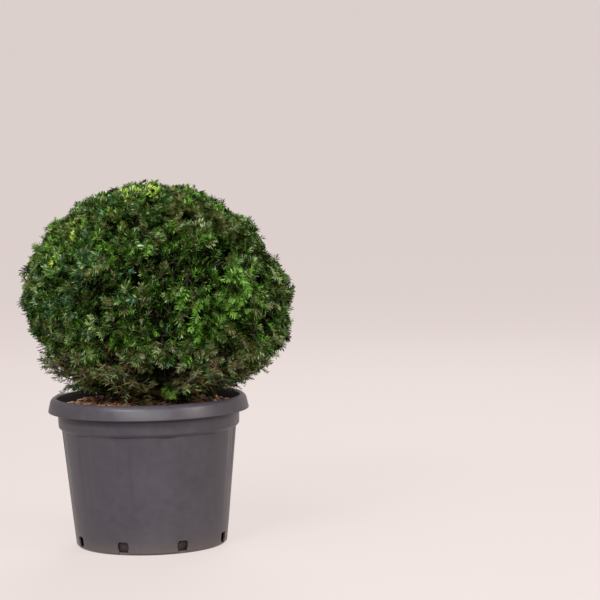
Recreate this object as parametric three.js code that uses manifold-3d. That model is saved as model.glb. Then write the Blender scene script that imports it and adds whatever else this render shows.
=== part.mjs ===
// A yew ball in a nursery pot: a moulded plastic container filled with potting soil, a short forked
// trunk that stands on the soil, five boughs that rise into a clipped crown, and five low boughs that
// carry loose sprays over the rim. Millimetres, +Z up, origin at the middle of the pot's flat underside.
import * as THREE from "three";
import { mergeVertices } from "three/addons/utils/BufferGeometryUtils.js";
import Module from "manifold-3d";

const wasm = await Module();
wasm.setup();

// Gap between two pieces that touch on the real plant.
const CLEAR = 0.3;
const UP = new THREE.Vector3(0, 0, 1);
const FULL_TURN = 2 * Math.PI;
const radians = THREE.MathUtils.degToRad;

// Pot: outer radii by height, wall, collar, flutes and drain holes.
const POT_HEIGHT = 373;
const POT_BASE_RADIUS = 188;
const POT_BODY_TOP_RADIUS = 217;
const POT_NECK_RADIUS = 225;
const POT_LEDGE_BOTTOM = 284;
const POT_LEDGE_TOP = 292;
const POT_WALL = 4;
const POT_FLOOR = 6;
const POT_SEGMENTS = 72;
const COLLAR_RADIUS = 250;
const COLLAR_DEPTH = 36;
const COLLAR_WALL = 3;
const RIM_INNER_RADIUS = 228;
const FLUTES = 12;
const FLUTE_DEPTH = 2.4;
const FLUTE_HALF_ANGLE = radians(7);
const DRAIN_HOLES = 8;
const DRAIN_WIDTH = 27;
const DRAIN_BOTTOM = 12;
const DRAIN_TOP = 33;

// Soil: its height at the wall and at the trunk.
const SOIL_EDGE = 347;
const SOIL_MIDDLE = 355;
const SOIL_SEGMENTS = 40;
const SOIL_FLAT_RADIUS = 48;

// Trunk: foot, waist and tip, and how far it leans.
const TRUNK_FOOT_RADIUS = 33;
const TRUNK_WAIST_RADIUS = 20;
const TRUNK_TIP_RADIUS = 13;
const TRUNK_HEIGHT = 76;
const TRUNK_LEAN = new THREE.Vector2(0.1, 0.03);
const ROOT_LOBES = 5;

// Crown: centre, half width, half height above and below, and the squareness of the two halves.
const CROWN_CENTRE = new THREE.Vector3(24, 0, 640);
const CROWN_HALF_WIDTH = 344;
const CROWN_UPPER_HEIGHT = 268;
const CROWN_LOWER_HEIGHT = 274;
const CROWN_UPPER_POWER = 1.96;
const CROWN_LOWER_POWER = 2.4;
const CORE_SHARE = 0.83;
const CORE_SKIRT = 0.05;
const CORE_ROUGHNESS = 0.12;
const CORE_DETAIL = 5;
// Swellings and hollows of the clipped outline: azimuth, elevation, share of the reach, spread (degrees).
const CROWN_LUMPS = [
  [-5, 36, -0.06, 30],
  [180, -32, 0.04, 16],
  [0, -6, 0.02, 20],
  [110, 30, 0.03, 28],
  [-60, 12, 0.02, 24],
  [-120, 48, -0.03, 22],
  [60, 55, -0.03, 24],
  [215, -28, -0.03, 22],
  [-25, -32, 0.05, 24],
];

// Twigs of the crown: how many leave the core, how far apart their two sprays stand, and spray size.
const CROWN_TWIGS = 92;
const CROWN_LOWEST = -0.93;
const FORK_SPREAD = radians(6.3);
const SPRAY_ROOT_SHARE = 0.75;
const SPRAY_SLANT = radians(17);
const SPRAY_HALF_WIDTH = 29;
const SPRAY_THICKNESS = 6;
// Half the outline of a spray from its root to its tip: shares of the length and of the half width.
const SPRAY_EDGE = [
  [0, 0.1],
  [0.5, 1],
  [0.56, 0.4],
  [0.78, 0.9],
  [0.78, 0.22],
];
const SPRAY_MIDDLE = 0.46;

// Upper boughs: azimuth and elevation (degrees, seen from the crown's centre) of where each one enters.
const BOUGHS = [
  [12, -50],
  [84, -46],
  [158, -49],
  [228, -45],
  [296, -52],
];
const BOUGH_RADIUS = 12;
const BOUGH_TIP_RADIUS = 8;

// Low boughs: azimuth (degrees), distance of the tip from the trunk, rise, and the name of their spray.
const LOW_BOUGHS = [
  [197, 128, 18, "left"],
  [291, 96, 6, "front"],
  [346, 126, 28, "right"],
  [58, 122, 30, "back_right"],
  [128, 120, 26, "back_left"],
];
const LOW_BOUGH_RADIUS = 6.5;
const LOW_BOUGH_TIP_RADIUS = 4;
const LOW_SPRAYS = 5;
const LOW_SPRAY_LENGTH = 62;
const LOW_SPRAY_HALF_WIDTH = 19;

// A repeatable number between 0 and 1 for item n and purpose salt.
function chance(n, salt) {
  const x = Math.sin(n * 12.9898 + salt * 78.233) * 43758.5453;
  return x - Math.floor(x);
}

// A closed three.js geometry as a solid.
function solidOf(geometry) {
  const bare = geometry.clone();
  bare.deleteAttribute("normal");
  bare.deleteAttribute("uv");
  const merged = mergeVertices(bare, 1e-4);
  const mesh = new wasm.Mesh({
    numProp: 3,
    vertProperties: new Float32Array(merged.attributes.position.array),
    triVerts: new Uint32Array(merged.index.array),
  });
  return new wasm.Manifold(mesh);
}

// The largest single body of a solid, so that scraps left by a cut are dropped.
function largestBody(solid) {
  const bodies = solid.decompose();
  return bodies.reduce((best, body) => (body.volume() > best.volume() ? body : best));
}

// A solid as a named mesh in its own material.
function meshOf(name, solid, material) {
  const { vertProperties, triVerts, numProp } = solid.getMesh();
  const geometry = new THREE.BufferGeometry();
  const positions = new Float32Array((vertProperties.length / numProp) * 3);
  for (let i = 0; i < positions.length / 3; i++) {
    positions.set(vertProperties.subarray(i * numProp, i * numProp + 3), i * 3);
  }
  geometry.setAttribute("position", new THREE.BufferAttribute(positions, 3));
  geometry.setIndex(new THREE.BufferAttribute(new Uint32Array(triVerts), 1));
  const mesh = new THREE.Mesh(geometry, material);
  mesh.name = name;
  return mesh;
}

// Moves every vertex of a geometry to where the function puts it.
function reshaped(geometry, place) {
  const position = geometry.attributes.position;
  const point = new THREE.Vector3();
  for (let i = 0; i < position.count; i++) {
    point.fromBufferAttribute(position, i);
    place(point, i);
    position.setXYZ(i, point.x, point.y, point.z);
  }
  return geometry;
}

// A profile of [radius, height] pairs turned about the Z axis.
function turned(profile, segments) {
  const points = profile.map(([radius, height]) => new THREE.Vector2(radius, height));
  return new THREE.LatheGeometry(points, segments).rotateX(Math.PI / 2);
}

// Unit vector from azimuth and elevation in degrees.
function direction(azimuth, elevation) {
  const level = Math.cos(radians(elevation));
  return new THREE.Vector3(
    level * Math.cos(radians(azimuth)),
    level * Math.sin(radians(azimuth)),
    Math.sin(radians(elevation)),
  );
}

// Outer radius of the pot's plain body at a height below the ledge.
function bodyRadius(height) {
  const share = height / POT_LEDGE_BOTTOM;
  return POT_BASE_RADIUS + (POT_BODY_TOP_RADIUS - POT_BASE_RADIUS) * share;
}

// The pot: a thin tapered wall with a ledge, a hollow collar, shallow flutes and drain holes.
function makePot() {
  const collarRoof = POT_HEIGHT - 4 * COLLAR_WALL;
  const collarEdge = POT_HEIGHT - COLLAR_DEPTH;
  const neckTop = POT_NECK_RADIUS + 2;
  const profile = [
    [0, 0],
    [POT_BASE_RADIUS - 4, 0],
    [POT_BASE_RADIUS, 4],
    [bodyRadius(60), 60],
    [POT_BODY_TOP_RADIUS, POT_LEDGE_BOTTOM],
    [POT_NECK_RADIUS, POT_LEDGE_TOP],
    [neckTop, collarRoof],
    [COLLAR_RADIUS - 4 * COLLAR_WALL, collarRoof],
    [COLLAR_RADIUS - COLLAR_WALL, collarEdge],
    [COLLAR_RADIUS, collarEdge],
    [COLLAR_RADIUS - 6, POT_HEIGHT - 9],
    [COLLAR_RADIUS - 12, POT_HEIGHT - 2],
    [RIM_INNER_RADIUS + 5, POT_HEIGHT],
    [RIM_INNER_RADIUS, POT_HEIGHT - 4],
    [POT_NECK_RADIUS - POT_WALL, POT_LEDGE_TOP + 2],
    [POT_BODY_TOP_RADIUS - POT_WALL, POT_LEDGE_BOTTOM + 2],
    [bodyRadius(POT_FLOOR) - POT_WALL, POT_FLOOR],
    [0, POT_FLOOR],
  ];
  const fluteShare = new Map([[3, 0.35], [4, 1]]);
  const wall = turned(profile, POT_SEGMENTS);
  reshaped(wall, (point, i) => {
    const share = fluteShare.get(i % profile.length) ?? 0;
    const turn = Math.atan2(point.y, point.x) / FULL_TURN + 1;
    const offset = ((turn * FLUTES) % 1) - 0.5;
    const inFlute = Math.abs(offset) * (FULL_TURN / FLUTES) < FLUTE_HALF_ANGLE;
    const radius = Math.hypot(point.x, point.y);
    if (share > 0 && inFlute) {
      const scale = (radius - FLUTE_DEPTH * share) / radius;
      point.x *= scale;
      point.y *= scale;
    }
  });
  let pot = solidOf(wall);
  for (let k = 0; k < DRAIN_HOLES; k++) {
    const angle = ((k + 0.5) / DRAIN_HOLES) * FULL_TURN;
    const hole = new THREE.Shape();
    hole.moveTo(-DRAIN_WIDTH / 2, DRAIN_BOTTOM);
    hole.lineTo(DRAIN_WIDTH / 2, DRAIN_BOTTOM);
    hole.lineTo(DRAIN_WIDTH / 2, DRAIN_TOP - 7);
    hole.lineTo(DRAIN_WIDTH / 2 - 7, DRAIN_TOP);
    hole.lineTo(7 - DRAIN_WIDTH / 2, DRAIN_TOP);
    hole.lineTo(-DRAIN_WIDTH / 2, DRAIN_TOP - 7);
    const window = new THREE.ExtrudeGeometry(hole, { depth: 24, bevelEnabled: false });
    window.rotateX(Math.PI / 2);
    window.rotateZ(Math.PI / 2);
    window.translate(POT_BASE_RADIUS - 14, 0, 0);
    const groove = new THREE.BoxGeometry(6, DRAIN_WIDTH - 8, DRAIN_BOTTOM);
    groove.translate(POT_BASE_RADIUS + 1, 0, DRAIN_BOTTOM / 2 - 1);
    for (const cutter of [window, groove]) {
      pot = pot.subtract(solidOf(cutter.rotateZ(angle)));
    }
  }
  return pot;
}

// Potting soil: fills the pot from its floor, with a low uneven mound round the trunk.
function makeSoil() {
  const gap = 2 * CLEAR;
  const profile = [
    [0, POT_FLOOR + CLEAR],
    [bodyRadius(POT_FLOOR) - POT_WALL - gap, POT_FLOOR + CLEAR],
    [POT_BODY_TOP_RADIUS - POT_WALL - gap, POT_LEDGE_BOTTOM + 2],
    [POT_NECK_RADIUS - POT_WALL - gap, POT_LEDGE_TOP + 4],
    [POT_NECK_RADIUS - POT_WALL - gap, SOIL_EDGE],
    [176, SOIL_EDGE + 1],
    [118, (SOIL_EDGE + SOIL_MIDDLE) / 2],
    [SOIL_FLAT_RADIUS, SOIL_MIDDLE],
    [0, SOIL_MIDDLE],
  ];
  const mound = turned(profile, SOIL_SEGMENTS);
  reshaped(mound, (point, i) => {
    const ring = i % profile.length;
    const radius = Math.hypot(point.x, point.y);
    if (ring === 5 || ring === 6) {
      const angle = Math.atan2(point.y, point.x);
      point.z += 3 * Math.sin(5 * angle + ring) + 2 * Math.sin(11 * angle + 2 * ring + radius);
    }
  });
  return solidOf(mound);
}

// The trunk's axis leans a little; this gives its middle at a height above the soil.
function trunkMiddle(height) {
  return new THREE.Vector3(
    TRUNK_LEAN.x * height,
    TRUNK_LEAN.y * height,
    SOIL_MIDDLE + CLEAR + height,
  );
}

// The trunk: a flat cut on the soil, a lobed root flare, a waist, a swollen fork and its tip.
function makeTrunk(extra) {
  const profile = [
    [0, 0],
    [TRUNK_FOOT_RADIUS, 0],
    [TRUNK_FOOT_RADIUS * 0.76, 9],
    [TRUNK_WAIST_RADIUS, 24],
    [TRUNK_WAIST_RADIUS + 1, 40],
    [TRUNK_WAIST_RADIUS - 2, 54],
    [TRUNK_TIP_RADIUS, TRUNK_HEIGHT],
    [0, TRUNK_HEIGHT],
  ];
  const lobed = new Map([[1, 0.2], [2, 0.13], [3, 0.05]]);
  const trunk = turned(profile, 20);
  reshaped(trunk, (point, i) => {
    const lobe = lobed.get(i % profile.length) ?? 0;
    const swell = 1 + lobe * Math.cos(ROOT_LOBES * Math.atan2(point.y, point.x));
    const radius = Math.hypot(point.x, point.y);
    const grown = radius > 0 ? (radius * swell + extra) / radius : 1;
    const middle = trunkMiddle(point.z);
    point.x = point.x * grown + middle.x;
    point.y = point.y * grown + middle.y;
    point.z = middle.z + (point.z > TRUNK_HEIGHT - 1 ? extra : 0);
  });
  return solidOf(trunk);
}

// One tapering limb along a curve: a cylinder whose rings are carried to the curve's points. A limb
// made larger by extra stands for the limb and the gap round it.
function limb(curve, baseRadius, tipRadius, sides, rings, extra = 0) {
  const cylinder = new THREE.CylinderGeometry(1, 1, 1, sides, rings);
  return solidOf(reshaped(cylinder, (point) => {
    const along = point.y + 0.5;
    const radius = baseRadius + (tipRadius - baseRadius) * along + extra;
    const tangent = curve.getTangent(along);
    const side = new THREE.Vector3().crossVectors(tangent, UP);
    if (side.length() < 0.1) side.set(1, 0, 0);
    side.normalize();
    const rise = new THREE.Vector3().crossVectors(side, tangent);
    const middle = curve.getPoint(along).addScaledVector(tangent, along > 0.99 ? extra : 0);
    const [across, up] = [point.x * radius, point.z * radius];
    point.copy(middle).addScaledVector(side, across).addScaledVector(rise, up);
  }));
}

// How far the clipped crown reaches from its centre in a direction.
function crownReach(toward) {
  const flat = Math.hypot(toward.x, toward.y);
  const power = toward.z < 0 ? CROWN_LOWER_POWER : CROWN_UPPER_POWER;
  const height = toward.z < 0 ? CROWN_LOWER_HEIGHT : CROWN_UPPER_HEIGHT;
  const sum = (flat / CROWN_HALF_WIDTH) ** power + (Math.abs(toward.z) / height) ** power;
  let reach = sum ** (-1 / power);
  for (const [azimuth, elevation, swell, spread] of CROWN_LUMPS) {
    const away = toward.angleTo(direction(azimuth, elevation)) / radians(spread);
    reach *= 1 + swell * Math.exp(-away * away);
  }
  return reach;
}

// A point of the crown at a share of its reach in a direction.
function crownPoint(toward, share) {
  return CROWN_CENTRE.clone().addScaledVector(toward, crownReach(toward) * share);
}

// The core's share of the reach: fuller in a skirt low down, where the crown hangs over the pot.
function coreShare(toward) {
  const away = (toward.z + 0.55) / 0.35;
  return CORE_SHARE + CORE_SKIRT * Math.exp(-away * away);
}

// Where an upper bough leaves the trunk and where it enters the crown's core.
function boughCurve([azimuth, elevation]) {
  const start = trunkMiddle(38);
  const end = crownPoint(direction(azimuth, elevation), CORE_SHARE - 0.03);
  const outward = new THREE.Vector3(end.x - start.x, end.y - start.y, 0);
  const bend = start.clone().addScaledVector(outward, 0.55);
  bend.z += 0.3 * (end.z - start.z);
  return new THREE.QuadraticBezierCurve3(start, bend, end);
}

// A low bough: nearly level, rising a little to its tip.
function lowBoughCurve([azimuth, distance, rise]) {
  const start = trunkMiddle(22);
  const outward = direction(azimuth, 0);
  const end = start.clone().addScaledVector(outward, distance);
  end.z += rise;
  const bend = start.clone().addScaledVector(outward, distance * 0.5);
  bend.z += rise * 0.2;
  return new THREE.QuadraticBezierCurve3(start, bend, end);
}

// One spray of needles: a thin blade, thickest at its middle, with three needle-like teeth on each
// side. Its outline is walked from the left of the root round the tip to the right of the root.
function spray(root, tip, side, halfWidth, thickness) {
  const axis = tip.clone().sub(root);
  const across = side.clone().addScaledVector(axis, -side.dot(axis) / axis.lengthSq()).normalize();
  const normal = new THREE.Vector3().crossVectors(across, axis).normalize();
  const at = (along, wide, high) => root.clone().addScaledVector(axis, along)
    .addScaledVector(across, wide * halfWidth).addScaledVector(normal, high * thickness);
  const edge = SPRAY_EDGE.map(([along, wide]) => at(along, -wide, 0));
  edge.push(tip.clone());
  edge.push(...SPRAY_EDGE.toReversed().map(([along, wide]) => at(along, wide, 0)));
  const top = at(SPRAY_MIDDLE, 0, 0.5);
  const under = at(SPRAY_MIDDLE, 0, -0.5);
  const corners = edge.flatMap((point, i) => {
    const next = edge[(i + 1) % edge.length];
    return [top, next, point, under, point, next];
  });
  const geometry = new THREE.BufferGeometry().setFromPoints(corners);
  geometry.setIndex(corners.map((_, i) => i));
  return solidOf(geometry);
}

// The direction of crown twig k: even over the ball by the golden angle, a little off by chance.
function twigDirection(k) {
  const height = 1 - ((k + 0.5) / CROWN_TWIGS) * (1 - CROWN_LOWEST);
  const azimuth = k * Math.PI * (3 - Math.sqrt(5)) + 0.25 * (chance(k, 1) - 0.5);
  const flat = Math.sqrt(1 - height * height);
  return new THREE.Vector3(flat * Math.cos(azimuth), flat * Math.sin(azimuth), height);
}

// The lean of a spray on the ball's surface: mostly upward along it, turned by chance.
function sprayLean(toward, n) {
  const climb = UP.clone().addScaledVector(toward, -toward.z);
  const around = new THREE.Vector3().crossVectors(toward, climb.lengthSq() > 0.02 ? UP : new THREE.Vector3(1, 0, 0));
  around.normalize();
  const turn = (chance(n, 5) - 0.5) * FULL_TURN * (0.35 + 0.6 * toward.z ** 2);
  const level = new THREE.Vector3().crossVectors(around, toward);
  return level.multiplyScalar(Math.cos(turn)).addScaledVector(around, Math.sin(turn));
}

// The clipped crown: a core, twigs that leave it and fork in two, and a spray on each fork.
function makeCrown(keepOut) {
  const ball = mergeVertices(new THREE.IcosahedronGeometry(1, CORE_DETAIL).deleteAttribute("uv"), 1e-4);
  const core = solidOf(reshaped(ball, (point, i) => {
    const toward = point.clone().normalize();
    point.copy(crownPoint(toward, coreShare(toward) + CORE_ROUGHNESS * (chance(i, 6) - 0.5)));
  }));
  const stemFoot = trunkMiddle(TRUNK_HEIGHT);
  stemFoot.z += CLEAR;
  const stemTop = stemFoot.clone().lerp(CROWN_CENTRE, 0.2);
  const pieces = [core, limb(new THREE.LineCurve3(stemFoot, stemTop), TRUNK_TIP_RADIUS - 1, 9, 8, 2)];
  for (let k = 0; k < CROWN_TWIGS; k++) {
    const toward = twigDirection(k);
    const spin = chance(k, 2) * Math.PI;
    const any = new THREE.Vector3().crossVectors(toward, UP);
    if (any.lengthSq() < 1e-4) any.set(1, 0, 0);
    const apart = any.normalize().applyAxisAngle(toward, spin);
    for (const hand of [1, -1]) {
      const n = 2 * k + (hand > 0 ? 0 : 1);
      const outward = toward.clone().addScaledVector(apart, hand * Math.tan(FORK_SPREAD)).normalize();
      const lean = sprayLean(outward, n);
      const tip = crownPoint(outward, 0.95 + 0.07 * chance(n, 3));
      const inward = outward.clone().multiplyScalar(Math.cos(SPRAY_SLANT))
        .addScaledVector(lean, -Math.sin(SPRAY_SLANT));
      const root = crownPoint(inward, SPRAY_ROOT_SHARE);
      const side = new THREE.Vector3().crossVectors(outward, lean);
      const wide = SPRAY_HALF_WIDTH * (0.85 + 0.3 * chance(n, 4));
      const blade = spray(root, tip, side, wide, SPRAY_THICKNESS);
      if (blade.intersect(keepOut).isEmpty()) pieces.push(blade);
    }
  }
  return largestBody(wasm.Manifold.union(pieces).subtract(keepOut));
}

// A loose low spray: a stem on from its bough's tip, with sprays dealt to both sides and its end.
function makeLowSpray(low, number, keepOut) {
  const [azimuth] = low;
  const bough = lowBoughCurve(low);
  const outward = direction(azimuth, 0);
  const around = new THREE.Vector3().crossVectors(UP, outward);
  const start = bough.getPoint(1);
  const end = start.clone().addScaledVector(outward, 62);
  end.z += 8;
  const bend = start.clone().lerp(end, 0.5);
  bend.z += 8;
  const stem = new THREE.QuadraticBezierCurve3(start, bend, end);
  const pieces = [limb(stem, LOW_BOUGH_TIP_RADIUS - 0.3, 2, 5, 3)];
  for (let j = 0; j < LOW_SPRAYS; j++) {
    const n = 10 * number + j;
    const along = 0.22 + 0.72 * (j / (LOW_SPRAYS - 1));
    const hand = j % 2 ? 1 : -1;
    const root = stem.getPoint(along).addScaledVector(stem.getTangent(along), -3);
    const open = radians(j === LOW_SPRAYS - 1 ? 4 : 52 - 22 * along) * hand;
    const heading = outward.clone().multiplyScalar(Math.cos(open)).addScaledVector(around, Math.sin(open));
    heading.z += 0.3 * (chance(n, 7) - 0.1);
    const tip = root.clone().addScaledVector(heading.normalize(), LOW_SPRAY_LENGTH * (0.85 + 0.3 * chance(n, 8)));
    const side = new THREE.Vector3().crossVectors(heading, UP).addScaledVector(UP, chance(n, 9) - 0.5);
    const blade = spray(root, tip, side, LOW_SPRAY_HALF_WIDTH, SPRAY_THICKNESS);
    if (blade.intersect(keepOut).isEmpty()) pieces.push(blade);
  }
  return largestBody(wasm.Manifold.union(pieces).subtract(keepOut));
}

const plastic = new THREE.MeshStandardMaterial({ name: "pot_plastic", color: 0x4a484c, roughness: 0.45 });
const compost = new THREE.MeshStandardMaterial({ name: "soil", color: 0x4a3020, roughness: 0.95 });
const bark = new THREE.MeshStandardMaterial({ name: "bark", color: 0x6b4632, roughness: 0.85 });
const needles = new THREE.MeshStandardMaterial({ name: "needles", color: 0x2c4a22, roughness: 0.5 });

const plant = new THREE.Group();
const pot = makePot();
const soil = makeSoil();
const trunk = makeTrunk(0);
plant.add(meshOf("pot", pot, plastic), meshOf("soil", soil, compost), meshOf("trunk", trunk, bark));

// Each limb is cut clear of the trunk and of the limbs made before it.
let taken = makeTrunk(CLEAR);
function addLimb(name, curve, baseRadius, tipRadius, sides) {
  const whole = limb(curve, baseRadius, tipRadius, sides, 5);
  plant.add(meshOf(name, largestBody(whole.subtract(taken)), bark));
  taken = taken.add(limb(curve, baseRadius, tipRadius, sides, 5, CLEAR));
}
BOUGHS.forEach((bough, i) => {
  addLimb(`bough_${i + 1}`, boughCurve(bough), BOUGH_RADIUS, BOUGH_TIP_RADIUS, 8);
});
LOW_BOUGHS.forEach((low) => {
  addLimb(`low_bough_${low[3]}`, lowBoughCurve(low), LOW_BOUGH_RADIUS, LOW_BOUGH_TIP_RADIUS, 6);
});

// The loose sprays stay clear of the pot, the soil and the limbs, and the crown of them all.
let occupied = wasm.Manifold.union([taken, pot, soil]);
LOW_BOUGHS.forEach((low, i) => {
  const loose = makeLowSpray(low, i + 1, occupied);
  plant.add(meshOf(`low_spray_${low[3]}`, loose, needles));
  occupied = occupied.add(loose);
});
plant.add(meshOf("crown", makeCrown(occupied), needles));

export default plant;
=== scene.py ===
"""A clipped yew ball in a fifty litre nursery container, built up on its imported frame."""

import math

import bpy
import numpy as np
from mathutils import Matrix, Vector


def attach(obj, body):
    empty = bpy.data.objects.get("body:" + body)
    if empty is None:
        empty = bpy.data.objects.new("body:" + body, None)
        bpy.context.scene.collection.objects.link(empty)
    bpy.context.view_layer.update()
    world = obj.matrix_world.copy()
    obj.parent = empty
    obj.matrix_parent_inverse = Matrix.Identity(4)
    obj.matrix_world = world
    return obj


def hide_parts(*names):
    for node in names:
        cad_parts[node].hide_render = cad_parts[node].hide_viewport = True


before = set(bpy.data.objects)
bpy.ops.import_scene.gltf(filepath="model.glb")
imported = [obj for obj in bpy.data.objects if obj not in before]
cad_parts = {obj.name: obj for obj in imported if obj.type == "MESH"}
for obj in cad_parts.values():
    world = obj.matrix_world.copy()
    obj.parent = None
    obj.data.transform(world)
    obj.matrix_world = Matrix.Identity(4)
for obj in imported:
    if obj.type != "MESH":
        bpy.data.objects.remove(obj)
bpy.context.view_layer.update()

# The pot: one injection moulding of dark grey polypropylene with a folded down collar,
# a stacking ledge, twelve shallow flutes and eight drain windows at its foot. It is used,
# so it is a little dusty, and scuffed where pots rub together.
POT_BASE_RADIUS = 0.188
POT_BODY_TOP_RADIUS = 0.217
POT_NECK_RADIUS = 0.225
POT_LEDGE_BOTTOM = 0.291
POT_LEDGE_TOP = 0.299
POT_FLOOR = 0.006
POT_WALL = 0.004
POT_FOOT_CORNERS = [(0.182, 0, 0.001), (0.1858, 0.0035, 0.001), (POT_BASE_RADIUS, 0.0055, 0.001)]
POT_COLLAR_CORNERS = [
    (0.227, 0.361, 0.0015), (0.238, 0.361, 0.0015), (0.247, 0.337, 0.0008), (0.250, 0.337, 0.0012),
    (0.244, 0.364, 0.004), (0.238, 0.371, 0.003), (0.233, 0.373, 0.002),
]
POT_INNER_CORNERS = [(0.228, 0.369, 0.002), (0.221, 0.301, 0.004), (0.213, 0.293, 0.004)]
POT_SIDES = 384
POT_RING_STEP = 0.012
ROUNDED_SHARE_OF_EDGE = 0.45
LEDGE_ROUNDING = 0.0006
FLUTES = 12
FLUTE_DEPTH = 0.0024
FLUTE_DEPTH_AT_FOOT = 0.15
FLUTE_HALF_ANGLE = math.radians(7)
FLUTE_FOOT = 0.06
FLUTE_SIDE_SHARE = 0.45
DRAIN_WINDOWS = 8
DRAIN_TURN = math.radians(4.2)
DRAIN_WIDTH = 0.028
DRAIN_BOTTOM = 0.014
DRAIN_TOP = 0.033
DRAIN_CHAMFER = 0.0045
DRAIN_CUT = 0.02
SILL_DEPTH = 0.004
SILL_WIDTH = 0.024
SILL_LAP = 0.001
SILL_BELOW = -0.002
SHARPEST_SMOOTH_EDGE = math.radians(38)


def body_radius(height):
    """Outer radius of the pot's tapering body: it grows straight from the base to the ledge."""
    return POT_BASE_RADIUS + (POT_BODY_TOP_RADIUS - POT_BASE_RADIUS) * height / POT_LEDGE_BOTTOM


def rounded_profile(section, steps=4):
    """A line of corners, given as radius, height and rounding. Between a point one rounding
    before each corner and one after it runs (1-t)^2 before + 2t(1-t) corner + t^2 after."""
    corners = np.array(section, float)[:, :2]
    rounding = np.array(section, float)[1:-1, 2:]
    before = corners[:-2] - corners[1:-1]
    after = corners[2:] - corners[1:-1]
    before_length = np.linalg.norm(before, axis=1, keepdims=True)
    after_length = np.linalg.norm(after, axis=1, keepdims=True)
    before_cut = np.minimum(rounding, before_length * ROUNDED_SHARE_OF_EDGE)
    after_cut = np.minimum(rounding, after_length * ROUNDED_SHARE_OF_EDGE)
    start = corners[1:-1] + before / before_length * before_cut
    end = corners[1:-1] + after / after_length * after_cut
    t = np.linspace(0, 1, steps + 1)[None, :, None]
    line = (1 - t) ** 2 * start[:, None] + 2 * t * (1 - t) * corners[1:-1, None] + t**2 * end[:, None]
    return np.vstack([corners[:1], line.reshape(-1, 2), corners[-1:]])


def closer_profile(line, step):
    """The same line with points added, so that no two lie further apart than step: the
    arc length is cut into equal parts on top of the given points."""
    length = np.concatenate([[0], np.cumsum(np.linalg.norm(np.diff(line, axis=0), axis=1))])
    marks = np.unique(np.concatenate([length, np.arange(0, length[-1], step)]).round(6))
    marks = marks[np.concatenate([[True], np.diff(marks) > 1e-4])]
    return np.stack([np.interp(marks, length, line[:, 0]), np.interp(marks, length, line[:, 1])], axis=1)


def turned_faces(rings, sides):
    """Faces of a surface of revolution whose points are a bottom pole, rings of equal count
    and a top pole: quads between neighbouring rings and a fan of triangles at each pole."""
    side = np.arange(sides)
    ahead = (side + 1) % sides
    ring = 1 + np.arange(rings - 1)[:, None] * sides
    quads = np.stack([ring + side, ring + ahead, ring + sides + ahead, ring + sides + side], axis=-1)
    last = 1 + (rings - 1) * sides
    foot = np.stack([np.zeros(sides, int), 1 + ahead, 1 + side], axis=-1)
    head = np.stack([last + side, last + ahead, np.full(sides, last + sides)], axis=-1)
    return [quads.reshape(-1, 4), np.concatenate([foot, head])]


def copied_faces(faces, copies, points_each):
    """The faces of one small shape, repeated for many copies whose points follow each other."""
    start = np.arange(copies)[:, None, None] * points_each
    return (np.asarray(faces)[None] + start).reshape(-1, np.shape(faces)[1])


def turned_points(radius, turn, height):
    """Points round the upright axis: radius cos(turn), radius sin(turn) and the height."""
    x, y, z = np.broadcast_arrays(radius * np.cos(turn), radius * np.sin(turn), height)
    return np.stack([x, y, z], axis=-1)


def new_piece(name, points, face_sets, material=None, smooth=True):
    """A mesh object at the origin from an array of points and arrays of faces, each array
    holding faces of one size. The points are in the frame's metres already."""
    mesh = bpy.data.meshes.new(name)
    sizes = np.concatenate([np.full(len(faces), faces.shape[1], np.int32) for faces in face_sets])
    corners = np.concatenate([faces.ravel() for faces in face_sets]).astype(np.int32)
    mesh.vertices.add(len(points))
    mesh.vertices.foreach_set("co", np.asarray(points, np.float32).ravel())
    mesh.loops.add(len(corners))
    mesh.loops.foreach_set("vertex_index", corners)
    mesh.polygons.add(len(sizes))
    mesh.polygons.foreach_set("loop_start", (np.cumsum(sizes) - sizes).astype(np.int32))
    mesh.polygons.foreach_set("use_smooth", np.full(len(sizes), smooth))
    mesh.update(calc_edges=True)
    piece = bpy.data.objects.new(name, mesh)
    bpy.context.scene.collection.objects.link(piece)
    if material:
        mesh.materials.append(material)
    return piece


def cut_piece(piece, cutters):
    """The piece with each cutter's volume taken out, and the cutters removed afterwards."""
    for cutter in cutters:
        cut = piece.modifiers.new(cutter.name, "BOOLEAN")
        cut.operation = "DIFFERENCE"
        cut.solver = "EXACT"
        cut.object = cutter
    shaped = piece.evaluated_get(bpy.context.evaluated_depsgraph_get())
    whole = piece.data
    piece.data = bpy.data.meshes.new_from_object(shaped)
    piece.modifiers.clear()
    bpy.data.meshes.remove(whole)
    for cutter in cutters:
        bpy.data.meshes.remove(cutter.data)


def window_cutter(name, outline, inner):
    """Eight prisms, one to a drain window: the outline, given as distance across and height,
    is carried outwards along the radius from inner to beyond the pot and turned to each
    window."""
    across, height = np.array(outline, float).T
    count = len(across)
    turn = ((np.arange(DRAIN_WINDOWS) + 0.5) * math.tau / DRAIN_WINDOWS + DRAIN_TURN)[:, None, None]
    depth = np.array([inner, POT_BASE_RADIUS + DRAIN_CUT])[None, :, None]
    x = depth * np.cos(turn) - across * np.sin(turn)
    y = depth * np.sin(turn) + across * np.cos(turn)
    points = np.stack([x, y, np.broadcast_to(height, x.shape)], axis=-1).reshape(-1, 3)
    edge = np.arange(count)
    ahead = (edge + 1) % count
    walls = np.stack([edge, ahead, ahead + count, edge + count], axis=-1)
    ends = np.stack([edge[::-1], edge + count])
    faces = [copied_faces(kind, DRAIN_WINDOWS, 2 * count) for kind in (walls, ends)]
    return new_piece(name, points, faces)


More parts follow.
